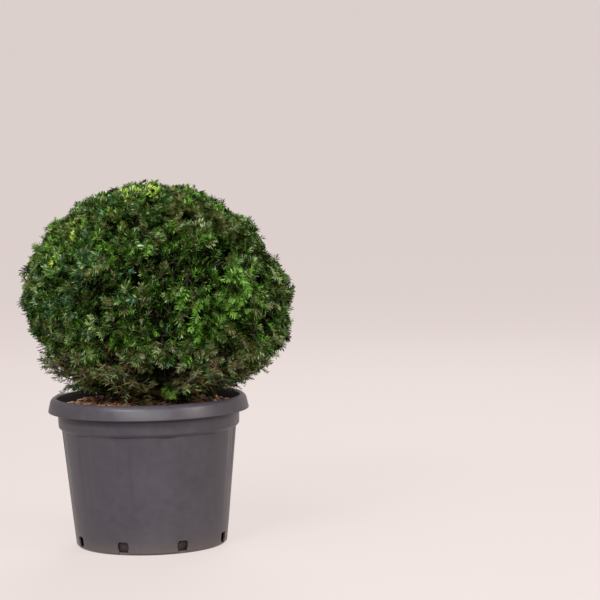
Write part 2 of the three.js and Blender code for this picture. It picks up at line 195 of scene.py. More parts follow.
pot_inner_section = [*POT_INNER_CORNERS, (body_radius(POT_FLOOR) - POT_WALL, POT_FLOOR, 0.003)]
pot_section = [
    (0, 0, 0), *POT_FOOT_CORNERS, (body_radius(FLUTE_FOOT), FLUTE_FOOT, 0.004),
    (POT_BODY_TOP_RADIUS, POT_LEDGE_BOTTOM, 0.0012), (POT_NECK_RADIUS, POT_LEDGE_TOP, 0.003),
    *POT_COLLAR_CORNERS, *pot_inner_section, (0, POT_FLOOR, 0),
]
pot_profile = closer_profile(rounded_profile(pot_section), POT_RING_STEP)[1:-1]
pot_ring_height = pot_profile[:, 1]
pot_angle = np.arange(POT_SIDES) / POT_SIDES * math.tau
flute_turn = pot_angle / math.tau * FLUTES % 1 - 0.5
flute_across = np.clip(np.abs(flute_turn) * math.tau / FLUTES / FLUTE_HALF_ANGLE, 0, 1)
outside = np.arange(len(pot_profile)) < np.argmax(pot_ring_height)
fluted = outside & (pot_ring_height > FLUTE_FOOT) & (pot_ring_height <= POT_LEDGE_BOTTOM + LEDGE_ROUNDING)
flute_rise = np.clip((pot_ring_height - FLUTE_FOOT) / (POT_LEDGE_BOTTOM - FLUTE_FOOT), 0, 1)
flute_share = FLUTE_DEPTH_AT_FOOT + (1 - FLUTE_DEPTH_AT_FOOT) * flute_rise
flute_depth = np.where(fluted, FLUTE_DEPTH * flute_share, 0)
flute_side = np.clip((1 - flute_across) / FLUTE_SIDE_SHARE, 0, 1)
pot_radius = pot_profile[:, :1] - flute_depth[:, None] * flute_side**2 * (3 - 2 * flute_side)
pot_points = turned_points(pot_radius, pot_angle, pot_ring_height[:, None]).reshape(-1, 3)
pot_points = np.vstack([[0, 0, 0], pot_points, [0, 0, POT_FLOOR]])
half_window = DRAIN_WIDTH / 2
chamfer_side = half_window - DRAIN_CHAMFER
chamfer_foot = DRAIN_TOP - DRAIN_CHAMFER
windows = window_cutter(
    "drain_windows",
    [
        (-half_window, DRAIN_BOTTOM), (half_window, DRAIN_BOTTOM), (half_window, chamfer_foot),
        (chamfer_side, DRAIN_TOP), (-chamfer_side, DRAIN_TOP), (-half_window, chamfer_foot),
    ],
    POT_BASE_RADIUS - DRAIN_CUT,
)
half_sill = SILL_WIDTH / 2
sill_top = DRAIN_BOTTOM + SILL_LAP
sills = window_cutter(
    "drain_sills",
    [(-half_sill, SILL_BELOW), (half_sill, SILL_BELOW), (half_sill, sill_top), (-half_sill, sill_top)],
    POT_BASE_RADIUS - SILL_DEPTH,
)
pot = new_piece("moulded_pot", pot_points, turned_faces(len(pot_profile), POT_SIDES))
cut_piece(pot, [windows, sills])
pot.data.shade_smooth()
pot.data.set_sharp_from_angle(angle=SHARPEST_SMOOTH_EDGE)


def linear(red, green, blue):
    """The linear colour of a screen colour given from 0 to 255."""
    share = np.array([red, green, blue]) / 255
    low = share / 12.92
    high = ((share + 0.055) / 1.055) ** 2.4
    return (*np.where(share <= 0.04045, low, high), 1)


def shader_node(tree, kind, inputs, **settings):
    """A node of a kind in a tree, with its settings. Each input takes a plain value, or is
    joined to the output that stands in the value's place."""
    node = tree.nodes.new("ShaderNode" + kind)
    for setting, value in settings.items():
        setattr(node, setting, value)
    for socket, value in inputs.items():
        if isinstance(value, bpy.types.NodeSocket):
            tree.links.new(value, node.inputs[socket])
        else:
            node.inputs[socket].default_value = value
    return node


def add_mix(tree, factor, first, second):
    """A colour mix by a mask, where first and second are outputs or plain colours."""
    mixed = shader_node(tree, "Mix", {"Factor": factor, "A": first, "B": second}, data_type="RGBA")
    return mixed.outputs["Result"]


def build_mottle():
    """Node group: two sizes of noise, the finer 5.3 times as fine, added and stretched in
    contrast, make a mask, and the mask mixes a first colour into a second."""
    group = bpy.data.node_groups.new("mottle", "ShaderNodeTree")
    for name, kind in {
        "Place": "Vector", "First": "Color", "Second": "Color", "Scale": "Float", "Contrast": "Float",
    }.items():
        group.interface.new_socket(name, in_out="INPUT", socket_type="NodeSocket" + kind)
    for name, kind in {"Color": "Color", "Mask": "Float"}.items():
        group.interface.new_socket(name, in_out="OUTPUT", socket_type="NodeSocket" + kind)
    given = group.nodes.new("NodeGroupInput").outputs
    result = group.nodes.new("NodeGroupOutput").inputs
    place, scale = given["Place"], given["Scale"]
    finer = shader_node(group, "Math", {0: scale, 1: 5.3}, operation="MULTIPLY")
    broad = shader_node(group, "TexNoise", {"Vector": place, "Scale": scale, "Detail": 4})
    fine = shader_node(group, "TexNoise", {"Vector": place, "Scale": finer.outputs[0], "Detail": 2})
    both = shader_node(group, "Math", {0: broad.outputs[0], 1: fine.outputs[0]}, operation="ADD")
    centred = shader_node(group, "Math", {0: both.outputs[0], 1: 1}, operation="SUBTRACT")
    stretched = shader_node(
        group, "Math", {0: centred.outputs[0], 1: given["Contrast"], 2: 0.5},
        operation="MULTIPLY_ADD", use_clamp=True,
    )
    mask = stretched.outputs[0]
    group.links.new(add_mix(group, mask, given["First"], given["Second"]), result["Color"])
    group.links.new(mask, result["Mask"])
    return group


mottle = build_mottle()


def add_bump(tree, height, strength, distance):
    """A Bump node between a height output and the shader's normal."""
    bump = shader_node(tree, "Bump", {"Height": height, "Strength": strength, "Distance": distance})
    tree.links.new(bump.outputs["Normal"], tree.nodes["Principled BSDF"].inputs["Normal"])


def add_ramp(tree, value, stops):
    """The grey of a colour ramp on a value, with stops of position and grey."""
    ramp = shader_node(tree, "ValToRGB", {"Fac": value})
    while len(ramp.color_ramp.elements) < len(stops):
        ramp.color_ramp.elements.new(0.5)
    for element, (position, grey) in zip(ramp.color_ramp.elements, stops):
        element.position = position
        element.color = (grey, grey, grey, 1)
    return ramp.outputs["Color"]


def new_finish(
    name, first, second, scale, contrast, roughness=0.5, gloss=0.5, stretch=(1, 1, 1), relief=None
):
    """A Principled material with a mottle of two screen colours on Object coordinates. relief
    is the strength and height of a bump by the mottle's mask. The nodes "place" and "mottle"
    give the coordinates and the mask to what is added."""
    finish = bpy.data.materials.new(name)
    finish.use_nodes = True
    tree = finish.node_tree
    shader = tree.nodes["Principled BSDF"]
    shader.inputs["Roughness"].default_value = roughness
    shader.inputs["Specular IOR Level"].default_value = gloss
    where = shader_node(tree, "TexCoord", {}).outputs["Object"]
    place = shader_node(tree, "Mapping", {"Vector": where, "Scale": stretch}, name="place")
    dappled = shader_node(
        tree, "Group",
        {
            "Place": place.outputs["Vector"], "First": linear(*first), "Second": linear(*second),
            "Scale": scale, "Contrast": contrast,
        },
        node_tree=mottle, name="mottle",
    )
    tree.links.new(dappled.outputs["Color"], shader.inputs["Base Color"])
    if relief:
        add_bump(tree, dappled.outputs["Mask"], *relief)
    return finish


pot_plastic = new_finish("pot_plastic", (52, 48, 53), (59, 55, 60), scale=9, contrast=1.6, gloss=0.28)
pot_tree = pot_plastic.node_tree
pot_place = pot_tree.nodes["place"].outputs["Vector"]
pot_mottle = pot_tree.nodes["mottle"].outputs
scuff_place = shader_node(pot_tree, "Mapping", {"Vector": pot_place, "Scale": (1, 1, 5)}).outputs["Vector"]
scuffs = shader_node(
    pot_tree, "TexNoise", {"Vector": scuff_place, "Scale": 34, "Detail": 8, "Roughness": 0.7}
)
scuff_mask = add_ramp(pot_tree, scuffs.outputs[0], [(0.62, 0.0), (0.78, 0.5)])
scuffed = add_mix(pot_tree, scuff_mask, pot_mottle["Color"], linear(92, 89, 92))
pot_height = shader_node(pot_tree, "SeparateXYZ", {0: pot_place}).outputs["Z"]
dust_mask = add_ramp(pot_tree, pot_height, [(0.0, 0.5), (0.012, 0.26), (0.035, 0.07), (0.08, 0.0)])
dusted = add_mix(pot_tree, dust_mask, scuffed, linear(95, 85, 75))
polish = add_ramp(pot_tree, pot_mottle["Mask"], [(0.0, 0.32), (1.0, 0.44)])
pot_shader = pot_tree.nodes["Principled BSDF"]
pot_tree.links.new(dusted, pot_shader.inputs["Base Color"])
pot_tree.links.new(polish, pot_shader.inputs["Roughness"])
orange_peel = shader_node(pot_tree, "TexNoise", {"Vector": pot_place, "Scale": 420})
add_bump(pot_tree, orange_peel.outputs[0], strength=0.12, distance=0.0004)
pot.data.materials.append(pot_plastic)
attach(pot, "root")
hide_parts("pot")

# The potting mix: peat and fine bark, filled in loose round the root ball and settled by
# watering. It stands highest round the stem, leaves a watering rim below the collar, and is
# damp at the foot, where it has run out a little behind the drain windows.
SOIL_EDGE = 0.347
SOIL_MIDDLE = 0.355
SOIL_SETTLED_RADIUS = 0.215
SOIL_FALL_POWER = 1.5
SOIL_RING_POWER = 1.15
SOIL_WALL_HEIGHTS = [0.036, 0.05, 0.1, 0.2, 0.292, 0.301, 0.33]
SOIL_GAP = 0.0006
SOIL_SIDES = 260
SOIL_RINGS = 84
CLODS = [(0.0026, 0.034, 1), (0.0018, 0.012, 2), (0.0011, 0.0045, 3)]
CLODS_DEEP = 0.006
FOOT_HOLLOW = 0.007
FOOT_HOLLOW_ABOVE_WINDOW = 0.005
PEAT_DAMP = linear(62, 52, 51)
LUMP_WAVES = np.array([12.9898, 78.233, 37.719])
SEED_WAVE = 4.1414
SINE_SIZE = 43758.5453


def lumps(points, cell, seed):
    """Smooth noise from -1 to 1 in space: each corner of a cubic grid of the given cell gets a
    value by the fraction of a large sine, and a point blends the eight corners round it by
    the weights 3t^2 - 2t^3."""
    place = np.asarray(points, float) / cell
    corner = np.floor(place)
    t = place - corner
    t = t * t * (3 - 2 * t)
    total = np.zeros(place.shape[:-1])
    for step in np.ndindex(2, 2, 2):
        value = np.sin((corner + step) @ LUMP_WAVES + seed * SEED_WAVE) * SINE_SIZE
        weight = np.prod(np.where(np.array(step) == 1, t, 1 - t), axis=-1)
        total += weight * (value - np.floor(value))
    return total * 2 - 1


def soil_height(x, y):
    """Height of the soil: it falls from the middle to the edge by a power of the radius, with
    clods and crumbs added as noise of three heights and sizes."""
    flat = np.stack([x, y, np.zeros_like(x)], axis=-1)
    fall = np.clip(np.hypot(x, y) / SOIL_SETTLED_RADIUS, 0, 1) ** SOIL_FALL_POWER
    settled = SOIL_MIDDLE + (SOIL_EDGE - SOIL_MIDDLE) * fall
    return settled + sum(rise * lumps(flat, cell, seed) for rise, cell, seed in CLODS)


def inner_pot_radius(height):
    """Radius of the pot's inner wall at a height: straight lines through its inner corners."""
    radii, heights, _ = np.array(pot_inner_section[::-1]).T
    return np.interp(height, heights, radii)


soil_angle = np.arange(SOIL_SIDES) / SOIL_SIDES * math.tau
soil_top_radius = inner_pot_radius(SOIL_EDGE - CLODS_DEEP) - SOIL_GAP
soil_radius = soil_top_radius * (1 - (np.arange(SOIL_RINGS) / SOIL_RINGS) ** SOIL_RING_POWER)
soil_surface = turned_points(soil_radius[:, None], soil_angle, 0.0)
soil_surface[..., 2] = soil_height(soil_surface[..., 0], soil_surface[..., 1])
wall_height = np.array([POT_FLOOR + SOIL_GAP, *SOIL_WALL_HEIGHTS])
wall_hollow = np.where(wall_height < DRAIN_TOP + FOOT_HOLLOW_ABOVE_WINDOW, FOOT_HOLLOW, 0)
wall_radius = inner_pot_radius(wall_height) - SOIL_GAP - wall_hollow
soil_wall = turned_points(wall_radius[:, None], soil_angle, wall_height[:, None])
soil_points = np.concatenate([soil_wall, soil_surface]).reshape(-1, 3)
soil_points = np.vstack([[0, 0, POT_FLOOR + SOIL_GAP], soil_points, [0, 0, SOIL_MIDDLE]])
peat = new_finish(
    "peat", (45, 32, 23), (90, 64, 45), scale=70, contrast=3, roughness=0.95, relief=(0.8, 0.003)
)
peat_tree = peat.node_tree
peat_place = peat_tree.nodes["place"].outputs["Vector"]
peat_level = shader_node(peat_tree, "SeparateXYZ", {0: peat_place}).outputs["Z"]
peat_dryness = add_ramp(peat_tree, peat_level, [(0.06, 0.0), (0.3, 1.0)])
peat_colour = add_mix(peat_tree, peat_dryness, PEAT_DAMP, peat_tree.nodes["mottle"].outputs["Color"])
peat_tree.links.new(peat_colour, peat_tree.nodes["Principled BSDF"].inputs["Base Color"])
soil = new_piece("potting_mix", soil_points, turned_faces(len(wall_height) + SOIL_RINGS, SOIL_SIDES), peat)
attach(soil, "root")
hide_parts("soil")

# The mulch: chips of composted bark spread on the mix, flat splinters from dark brown to
# orange with pale broken faces among them. Most lie on the left, so the dark peat that
# shows on the right is painted shade.
CHIPS = {
    "dark": (1000, (74, 53, 38), (118, 84, 59)),
    "orange": (1000, (146, 93, 55), (196, 134, 85)),
    "pale": (420, (172, 142, 108), (208, 182, 150)),
}
CHIP_LONGEST = 0.024
CHIP_LENGTH_SHARES = (0.3, 1)
CHIP_WIDTH_SHARES = (0.3, 0.6)
CHIP_THICKNESSES = (0.0012, 0.0035)
CHIP_CORNER_SHARES = (0.55, 1)
CHIP_TILT = 0.22
MULCH_EDGE = 0.219
MULCH_HOLE = 0.03
MULCH_PAINTED_SHADE_LINE = -0.045
MULCH_PAINTED_SHADE_SHARE = 0.78
dice = np.random.default_rng(7)


def scattered_on_soil(count, reach):
    """Points spread over the ring of soil between the stem and the wall, at the soil's
    height: the radius is the square root of an even chance, and most points right of a line
    are mirrored in x to the left, so the bare peat on the right is painted shade."""
    radius = np.sqrt(dice.uniform(MULCH_HOLE**2, (MULCH_EDGE - reach) ** 2, count))
    angle = dice.uniform(0, math.tau, count)
    x = radius * np.cos(angle)
    y = radius * np.sin(angle)
    # Most chips on the right move to the left: the bare dark peat there is painted shade.
    x = np.where((x > MULCH_PAINTED_SHADE_LINE) & (dice.random(count) < MULCH_PAINTED_SHADE_SHARE), -x, x)
    return np.stack([x, y, soil_height(x, y)], axis=-1)


def swung(first, second, angle):
    """Directions swung from a first one towards a second: first cos a + second sin a."""
    return first * np.cos(angle)[..., None] + second * np.sin(angle)[..., None]


def laid_frames(count):
    """Three directions for each chip that lies on the soil: along, across and up, turned by
    an even chance about the vertical and tipped by a normal chance."""
    turn = dice.uniform(0, math.tau, count)
    tip = dice.normal(0, CHIP_TILT, count)
    roll = dice.normal(0, CHIP_TILT, count)
    along = np.stack([np.cos(turn) * np.cos(tip), np.sin(turn) * np.cos(tip), np.sin(tip)], axis=-1)
    level = np.stack([-np.sin(turn), np.cos(turn), np.zeros(count)], axis=-1)
    across = swung(level, np.cross(along, level), roll)
    return np.stack([along, across, np.cross(along, across)], axis=1)


def bark_chips(count):
    """Splinters of six sides: the eight corners of a flat box, each pulled in by chance, so
    that no two edges are parallel."""
    length = dice.uniform(*CHIP_LENGTH_SHARES, count) * CHIP_LONGEST
    width = length * dice.uniform(*CHIP_WIDTH_SHARES, count)
    size = np.stack([length, width, dice.uniform(*CHIP_THICKNESSES, count)], axis=-1)
    box_corners = np.array(list(np.ndindex(2, 2, 2))) - 0.5
    corners = box_corners[None] * size[:, None] * dice.uniform(*CHIP_CORNER_SHARES, (count, 8, 3))
    frames = laid_frames(count)
    middle = scattered_on_soil(count, CHIP_LONGEST / 2)
    middle[:, 2] += size[:, 2] * 0.5
    points = (corners @ frames + middle[:, None]).reshape(-1, 3)
    box = [[0, 1, 3, 2], [4, 6, 7, 5], [0, 4, 5, 1], [2, 3, 7, 6], [0, 2, 6, 4], [1, 5, 7, 3]]
    return points, [copied_faces(box, count, 8)]


for shade, (count, first, second) in CHIPS.items():
    chip = new_finish(
        "chip_" + shade, first, second, scale=160, contrast=2.5, roughness=0.85, relief=(0.5, 0.0008)
    )
    chips = new_piece("mulch_" + shade, *bark_chips(count), chip, smooth=False)
    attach(chips, "root")

# The trunk and its boughs: a short stem with a flared, lobed foot that forks low into rising
# boughs. Yew bark is thin, red brown and comes off in flakes and strips along the limb.
SOIL_TOP = 0.3553
TRUNK_PROFILE = [(0, 0.033), (0.009, 0.025), (0.024, 0.020), (0.040, 0.021), (0.054, 0.018), (0.076, 0.013)]
TRUNK_LEAN = (0.10, 0.03)
TRUNK_HEIGHT = 0.076
TRUNK_RINGS = 44
TRUNK_SIDES = 72
ROOT_LOBES = 5
ROOT_LOBE_DEPTH = 0.16
ROOT_LOBE_FADE = 0.018
ROOT_LOBE_TURN = 0.6
BARK_STRIP = 0.022
STEM_BARK = 0.05
BOUGH_BARK = 0.06
CROWN_CENTRE = np.array([0.024, 0, 0.640])
CROWN_HALF_WIDTH = 0.344
CROWN_UPPER_HEIGHT = 0.268
CROWN_LOWER_HEIGHT = 0.274
CROWN_UPPER_POWER = 1.96
CROWN_LOWER_POWER = 2.4
CROWN_LUMPS = [
    (-5, 36, -0.06, 30), (180, -32, 0.04, 16), (0, -6, 0.02, 20), (110, 30, 0.03, 28), (-60, 12, 0.02, 24),
    (-120, 48, -0.03, 22), (60, 55, -0.03, 24), (215, -28, -0.03, 22), (-25, -32, 0.05, 24),
]
LEADER_SHARE = 0.62
LEADER_RADII = (0.0125, 0.004)
LEADER_RINGS = 48
LEADER_SIDES = 18
BOUGHS = [(12, -50), (84, -46), (158, -49), (228, -45), (296, -52)]
BOUGH_START = 0.038
BOUGH_SHARE = 0.80
BOUGH_BEND = [0.55, 0.55, 0.30]
BOUGH_RADII = (0.012, 0.008)
BOUGH_RINGS = 44
BOUGH_SIDES = 24
LOW_BOUGHS = [
    (197, 0.128, 0.018, "left"), (291, 0.096, 0.006, "front"), (346, 0.126, 0.028, "right"),
    (58, 0.122, 0.030, "back_right"), (128, 0.120, 0.026, "back_left"),
]
LOW_BOUGH_START = 0.022
LOW_BOUGH_RADII = (0.0065, 0.004)
LOW_BOUGH_RINGS = 30
LOW_BOUGH_SIDES = 14
UP = np.array([0.0, 0.0, 1.0])


def unit(vectors):
    """The same directions at length one."""
    return vectors / np.maximum(np.linalg.norm(vectors, axis=-1, keepdims=True), 1e-12)


def direction(azimuth, elevation):
    """The unit vector of an azimuth and an elevation in degrees."""
    azimuth, elevation = np.radians(azimuth), np.radians(elevation)
    level = np.cos(elevation)
    return np.stack([level * np.cos(azimuth), level * np.sin(azimuth), np.sin(elevation)], axis=-1)


def angle_between(toward, azimuth, elevation):
    """The angle in degrees between directions and one azimuth and elevation."""
    return np.degrees(np.arccos(np.clip(toward @ direction(azimuth, elevation), -1, 1)))


def nearness(toward, azimuth, elevation, spread):
    """How near directions lie to an azimuth and an elevation: exp(-(angle / spread)^2)."""
    return np.exp(-((angle_between(toward, azimuth, elevation) / spread) ** 2))


def crown_reach(toward):
    """Distance from the crown's centre to its clipped surface: a rounded box of revolution,
    flatter below, swollen or dented by each lump as 1 + swell * nearness."""
    flat = np.hypot(toward[..., 0], toward[..., 1])
    up = toward[..., 2]
    height = np.where(up >= 0, CROWN_UPPER_HEIGHT, CROWN_LOWER_HEIGHT)
    power = np.where(up >= 0, CROWN_UPPER_POWER, CROWN_LOWER_POWER)
    reach = ((flat / CROWN_HALF_WIDTH) ** power + (np.abs(up) / height) ** power) ** (-1 / power)
    for azimuth, elevation, swell, spread in CROWN_LUMPS:
        reach = reach * (1 + swell * nearness(toward, azimuth, elevation, spread))
    return reach


def crown_point(toward, share):
    """The point at a share of the crown's reach along a direction."""
    return CROWN_CENTRE + toward * (crown_reach(toward) * share)[..., None]


def trunk_middle(height):
    """The trunk's middle line, which leans a little to the right and back."""
    height = np.asarray(height, float)
    return np.stack([TRUNK_LEAN[0] * height, TRUNK_LEAN[1] * height, SOIL_TOP + height], axis=-1)


def curve(start, bend, end, steps):
    """Points on the curve (1-t)^2 start + 2t(1-t) bend + t^2 end, for many curves at once."""
    t = np.linspace(0, 1, steps)[:, None]
    start, bend, end = (np.asarray(point)[..., None, :] for point in (start, bend, end))
    return (1 - t) ** 2 * start + 2 * t * (1 - t) * bend + t**2 * end


def spokes_across(ahead, sides):
    """Unit spokes across each direction of many paths, at equal turns a: across cos a + other
    sin a, where across is level, or stands across x if the path starts out steep."""
    guide = np.where(np.abs(ahead[:, :1, 2:]) > 0.8, [[[1.0, 0.0, 0.0]]], [[UP]])
    across = unit(np.cross(guide, ahead))
    other = np.cross(ahead, across)
    turn = np.arange(sides) / sides * math.tau
    return across[:, :, None] * np.cos(turn)[:, None] + other[:, :, None] * np.sin(turn)[:, None]


def limb_tubes(paths, radii, sides, swell=None):
    """Closed tubes on many paths at once: round each path point a ring of the given radius
    stands across the path, with a pole at each end. swell, one number to a ring and side,
    multiplies the radius."""
    count, rings = paths.shape[:2]
    ahead = unit(np.gradient(paths, axis=1))
    size = np.broadcast_to(radii, (count, rings))[..., None] * (1 if swell is None else swell)
    across = spokes_across(ahead, sides) * np.broadcast_to(size, (count, rings, sides))[..., None]
    ring_points = paths[:, :, None] + across
    foot = paths[:, :1] - ahead[:, :1] * size[:, :1, :1] * 0.3
    head = paths[:, -1:] + ahead[:, -1:] * size[:, -1:, :1] * 0.8
    points = np.concatenate([foot, ring_points.reshape(count, -1, 3), head], axis=1)
    faces = [copied_faces(kind, count, rings * sides + 2) for kind in turned_faces(rings, sides)]
    return points.reshape(-1, 3), faces


def joined(parts):
    """Several point and face sets as one, each set's face numbers moved past the last."""
    points = np.concatenate([part[0] for part in parts])
    offsets = np.cumsum([0] + [len(part[0]) for part in parts[:-1]])
    faces = [kind + offset for (_, kinds), offset in zip(parts, offsets) for kind in kinds]
    return points, faces


def bark_swell(paths, sides, depth, seed):
    """Flaky bark on a tube: noise that is long along the limb and narrow round it, cut at a
    level so that strips stand out with a sudden edge."""
    count = len(paths)
    steps = np.linalg.norm(np.diff(paths, axis=1), axis=-1)
    along = np.concatenate([np.zeros((count, 1)), np.cumsum(steps, axis=1)], axis=1)[..., None]
    turn = np.arange(sides) / sides * math.tau
    lengthwise = along / BARK_STRIP + np.arange(count)[:, None, None] * 9
    around = np.stack(np.broadcast_arrays(np.cos(turn), np.sin(turn), lengthwise), axis=-1)
    flakes = lumps(around, 0.55, seed)
    return 1 + depth * (np.tanh(flakes * 7) * 0.6 + lumps(around, 0.23, seed + 1) * 0.4)


def barked_tubes(paths, radii, sides, depth, seed, lobes=1):
    """Closed tubes on the paths, with flaky bark of a depth as a share of the radius, and
    with the lobes of the root flare if any."""
    return limb_tubes(paths, radii, sides, bark_swell(paths, sides, depth, seed) * lobes)


trunk_rise = np.linspace(0, TRUNK_HEIGHT, TRUNK_RINGS)
trunk_path = trunk_middle(trunk_rise)[None]
trunk_radius = np.interp(trunk_rise, *np.array(TRUNK_PROFILE).T)
lobe_turn = np.arange(TRUNK_SIDES) / TRUNK_SIDES * math.tau
lobe_fade = np.exp(-trunk_rise[:, None] / ROOT_LOBE_FADE)
lobes = 1 + ROOT_LOBE_DEPTH * lobe_fade * np.cos(ROOT_LOBES * lobe_turn + ROOT_LOBE_TURN)
trunk_tube = barked_tubes(trunk_path, trunk_radius, TRUNK_SIDES, STEM_BARK, 11, lobes)
leader_top = crown_point(direction(0, 90), LEADER_SHARE)
leader_bend = trunk_middle(0.22) + [0.02, 0.01, 0]
leader_path = curve(trunk_middle(TRUNK_HEIGHT - 0.004), leader_bend, leader_top, LEADER_RINGS)[None]
leader_radius = np.linspace(*LEADER_RADII, LEADER_RINGS)
leader_tube = barked_tubes(leader_path, leader_radius, LEADER_SIDES, STEM_BARK, 21)
bough_toward = direction(*np.array(BOUGHS, float).T)
bough_end = crown_point(bough_toward, BOUGH_SHARE)
bough_foot = trunk_middle(np.full(len(BOUGHS), BOUGH_START))
bough_bend = bough_foot + (bough_end - bough_foot) * BOUGH_BEND
bough_path = curve(bough_foot, bough_bend, bough_end, BOUGH_RINGS)
bough_radius = np.linspace(*BOUGH_RADII, BOUGH_RINGS)
bough_tube = barked_tubes(bough_path, bough_radius, BOUGH_SIDES, BOUGH_BARK, 31)
low_azimuth, low_length, low_rise = np.array([row[:3] for row in LOW_BOUGHS], float).T
low_run = direction(low_azimuth, np.zeros(len(LOW_BOUGHS))) * low_length[:, None]
low_foot = trunk_middle(np.full(len(LOW_BOUGHS), LOW_BOUGH_START))
low_end = low_foot + low_run + low_rise[:, None] * UP
low_bend = low_foot + low_run * 0.5 + low_rise[:, None] * UP * 0.2
low_path = curve(low_foot, low_bend, low_end, LOW_BOUGH_RINGS)
low_radius = np.linspace(*LOW_BOUGH_RADII, LOW_BOUGH_RINGS)
low_tube = barked_tubes(low_path, low_radius, LOW_BOUGH_SIDES, BOUGH_BARK, 41)
bark = new_finish(
    "bark", (56, 34, 24), (117, 74, 50), scale=90, contrast=2.6, roughness=0.85, stretch=(1, 1, 0.22),
    relief=(0.7, 0.0015),
)
limbs = new_piece("bark_limbs", *joined([trunk_tube, leader_tube, bough_tube, low_tube]), bark)
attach(limbs, "root")
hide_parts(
    "trunk", *("bough_%d" % (number + 1) for number in range(len(BOUGHS))),
    *("low_bough_" + row[3] for row in LOW_BOUGHS),
)

# The twigs: every limb carries forked sprays that run out to the surface the shears leave,
# then fine branchlets, then the year's shoots. The growth stands in pads and layers with
# pits between them, given as azimuth, elevation and spread. Old twigs are brown.
GOLDEN_ANGLE = math.pi * (3 - math.sqrt(5))
CROWN_TWIGS = 92
CROWN_LOWEST = 0.93
FORK_SPREAD = math.tan(math.radians(6.3))
SPRAY_AIM_SHARE = 0.32
SPRAY_ROOT_SHARE = 0.75
SPRAY_TIP_SHARE = 0.86
SPRAY_SLANT = math.radians(17)
INNER_SAMPLES = 9
OUTER_SAMPLES = 6
FORK_RADII = (0.0034, 0.0013)
BRANCHLETS = 2150
BRANCHLET_LOWEST = 0.95
BRANCHLET_SHARE = 0.92
BRANCHLET_SAMPLES = 6
BRANCHLET_RADII = (0.0016, 0.0009)
PAD_DEPTH = 0.07
POCKET_DEPTH = 0.15
LAYER_DEGREES = 15
LAYER_DEPTH = 0.06
HOLLOWS = [
    (242, 2, 7), (276, 16, 6), (304, 16, 7), (316, -13, 7), (318, -19, 6), (273, -9, 7), (286, 7, 5),
    (264, 34, 5), (236, -10, 4), (256, -9, 4), (251, -34, 8), (247, 36, 5), (332, 14, 5), (334, -1, 4),
    (296, 40, 4), (226, 26, 5), (257, 7, 6), (264, 12, 4), (227, 10, 4), (273, 7, 5), (293, -38, 4),
    (282, 25, 4), (257, 37, 4), (322, 18, 4), (309, -31, 8), (275, -40, 9), (322, 4, 4), (298, 4, 4),
    (256, 14, 4), (227, 1, 4), (249, -19, 4), (290, 13, 4), (231, 29, 4), (284, -22, 4), (324, -15, 5),
    (20, 12, 9), (52, -20, 8), (75, 22, 8), (105, -6, 9), (140, 15, 8), (165, -22, 8), (30, 50, 8),
    (120, 48, 8), (12, -20, 7), (38, 30, 6), (62, 4, 7), (88, -30, 7), (92, 44, 6), (122, 20, 7),
    (128, -24, 7), (150, 38, 6), (158, -2, 6), (180, 24, 6), (270, -62, 12),
]


def chance(number, salt):
    """An even chance from 0 to 1 that is the same each run: the fraction of a large sine."""
    value = np.sin(np.asarray(number) * LUMP_WAVES[0] + salt * LUMP_WAVES[1]) * SINE_SIZE
    return value - np.floor(value)


def drift(number, salt):
    """A stray vector for each number: three even chances from -0.5 to 0.5, by the salt and
    the two salts after it."""
    return np.stack([chance(number, salt + axis) - 0.5 for axis in range(3)], axis=-1)


def twig_directions(count, lowest):
    """Directions spread evenly over a ball down to a lowest height: the height falls in equal
    steps while the azimuth turns by the golden angle, moved a little by chance."""
    number = np.arange(count)
    height = 1 - (number + 0.5) / count * (1 + lowest)
    azimuth = number * GOLDEN_ANGLE + 0.25 * (chance(number, 1) - 0.5)
    return turned_points(np.sqrt(1 - height**2), azimuth, height)


def turned_about(vectors, axis, angle):
    """Vectors that stand across an axis, turned about it: v cos a + (axis x v) sin a."""
    return swung(vectors, np.cross(axis, vectors), angle)


def spray_leans(outward, number):
    """The upper face's direction of each flat spray: level over the sides of the ball, turned
    about the spray's own direction by a chance that widens towards the top and bottom."""
    around = np.cross(outward, UP)
    flat = np.linalg.norm(around, axis=-1, keepdims=True) < 1e-3
    around = unit(np.where(flat, [1.0, 0.0, 0.0], around))
    turn = (chance(number, 5) - 0.5) * math.tau * (0.35 + 0.6 * outward[:, 2] ** 2)
    return swung(np.cross(around, outward), around, turn)


def pits(toward):
    """How far each direction lies in a pit of the crown, from 0 to 1: its greatest nearness
    to one of the pits."""
    return np.max([nearness(toward, *pit) for pit in HOLLOWS], axis=0)


def broad_pads(toward):
    """Broad pads of growth, wider than high: noise from -1 to 1 on directions."""
    return lumps(toward * [1, 1, 2.1], 0.34, 51)


def along_paths(paths, rows, share):
    """Points at a share from 0 to 1 of chosen paths, straight between their samples."""
    place = np.clip(share, 0, 1) * (paths.shape[1] - 1)
    low = np.minimum(place.astype(int), paths.shape[1] - 2)
    part = (place - low)[..., None]
    return paths[rows, low] * (1 - part) + paths[rows, low + 1] * part


def nearest_samples(samples, aims):
    """For each aim the nearest one of the sample points."""
    return samples[np.linalg.norm(samples[None] - aims[:, None], axis=-1).argmin(axis=1)]


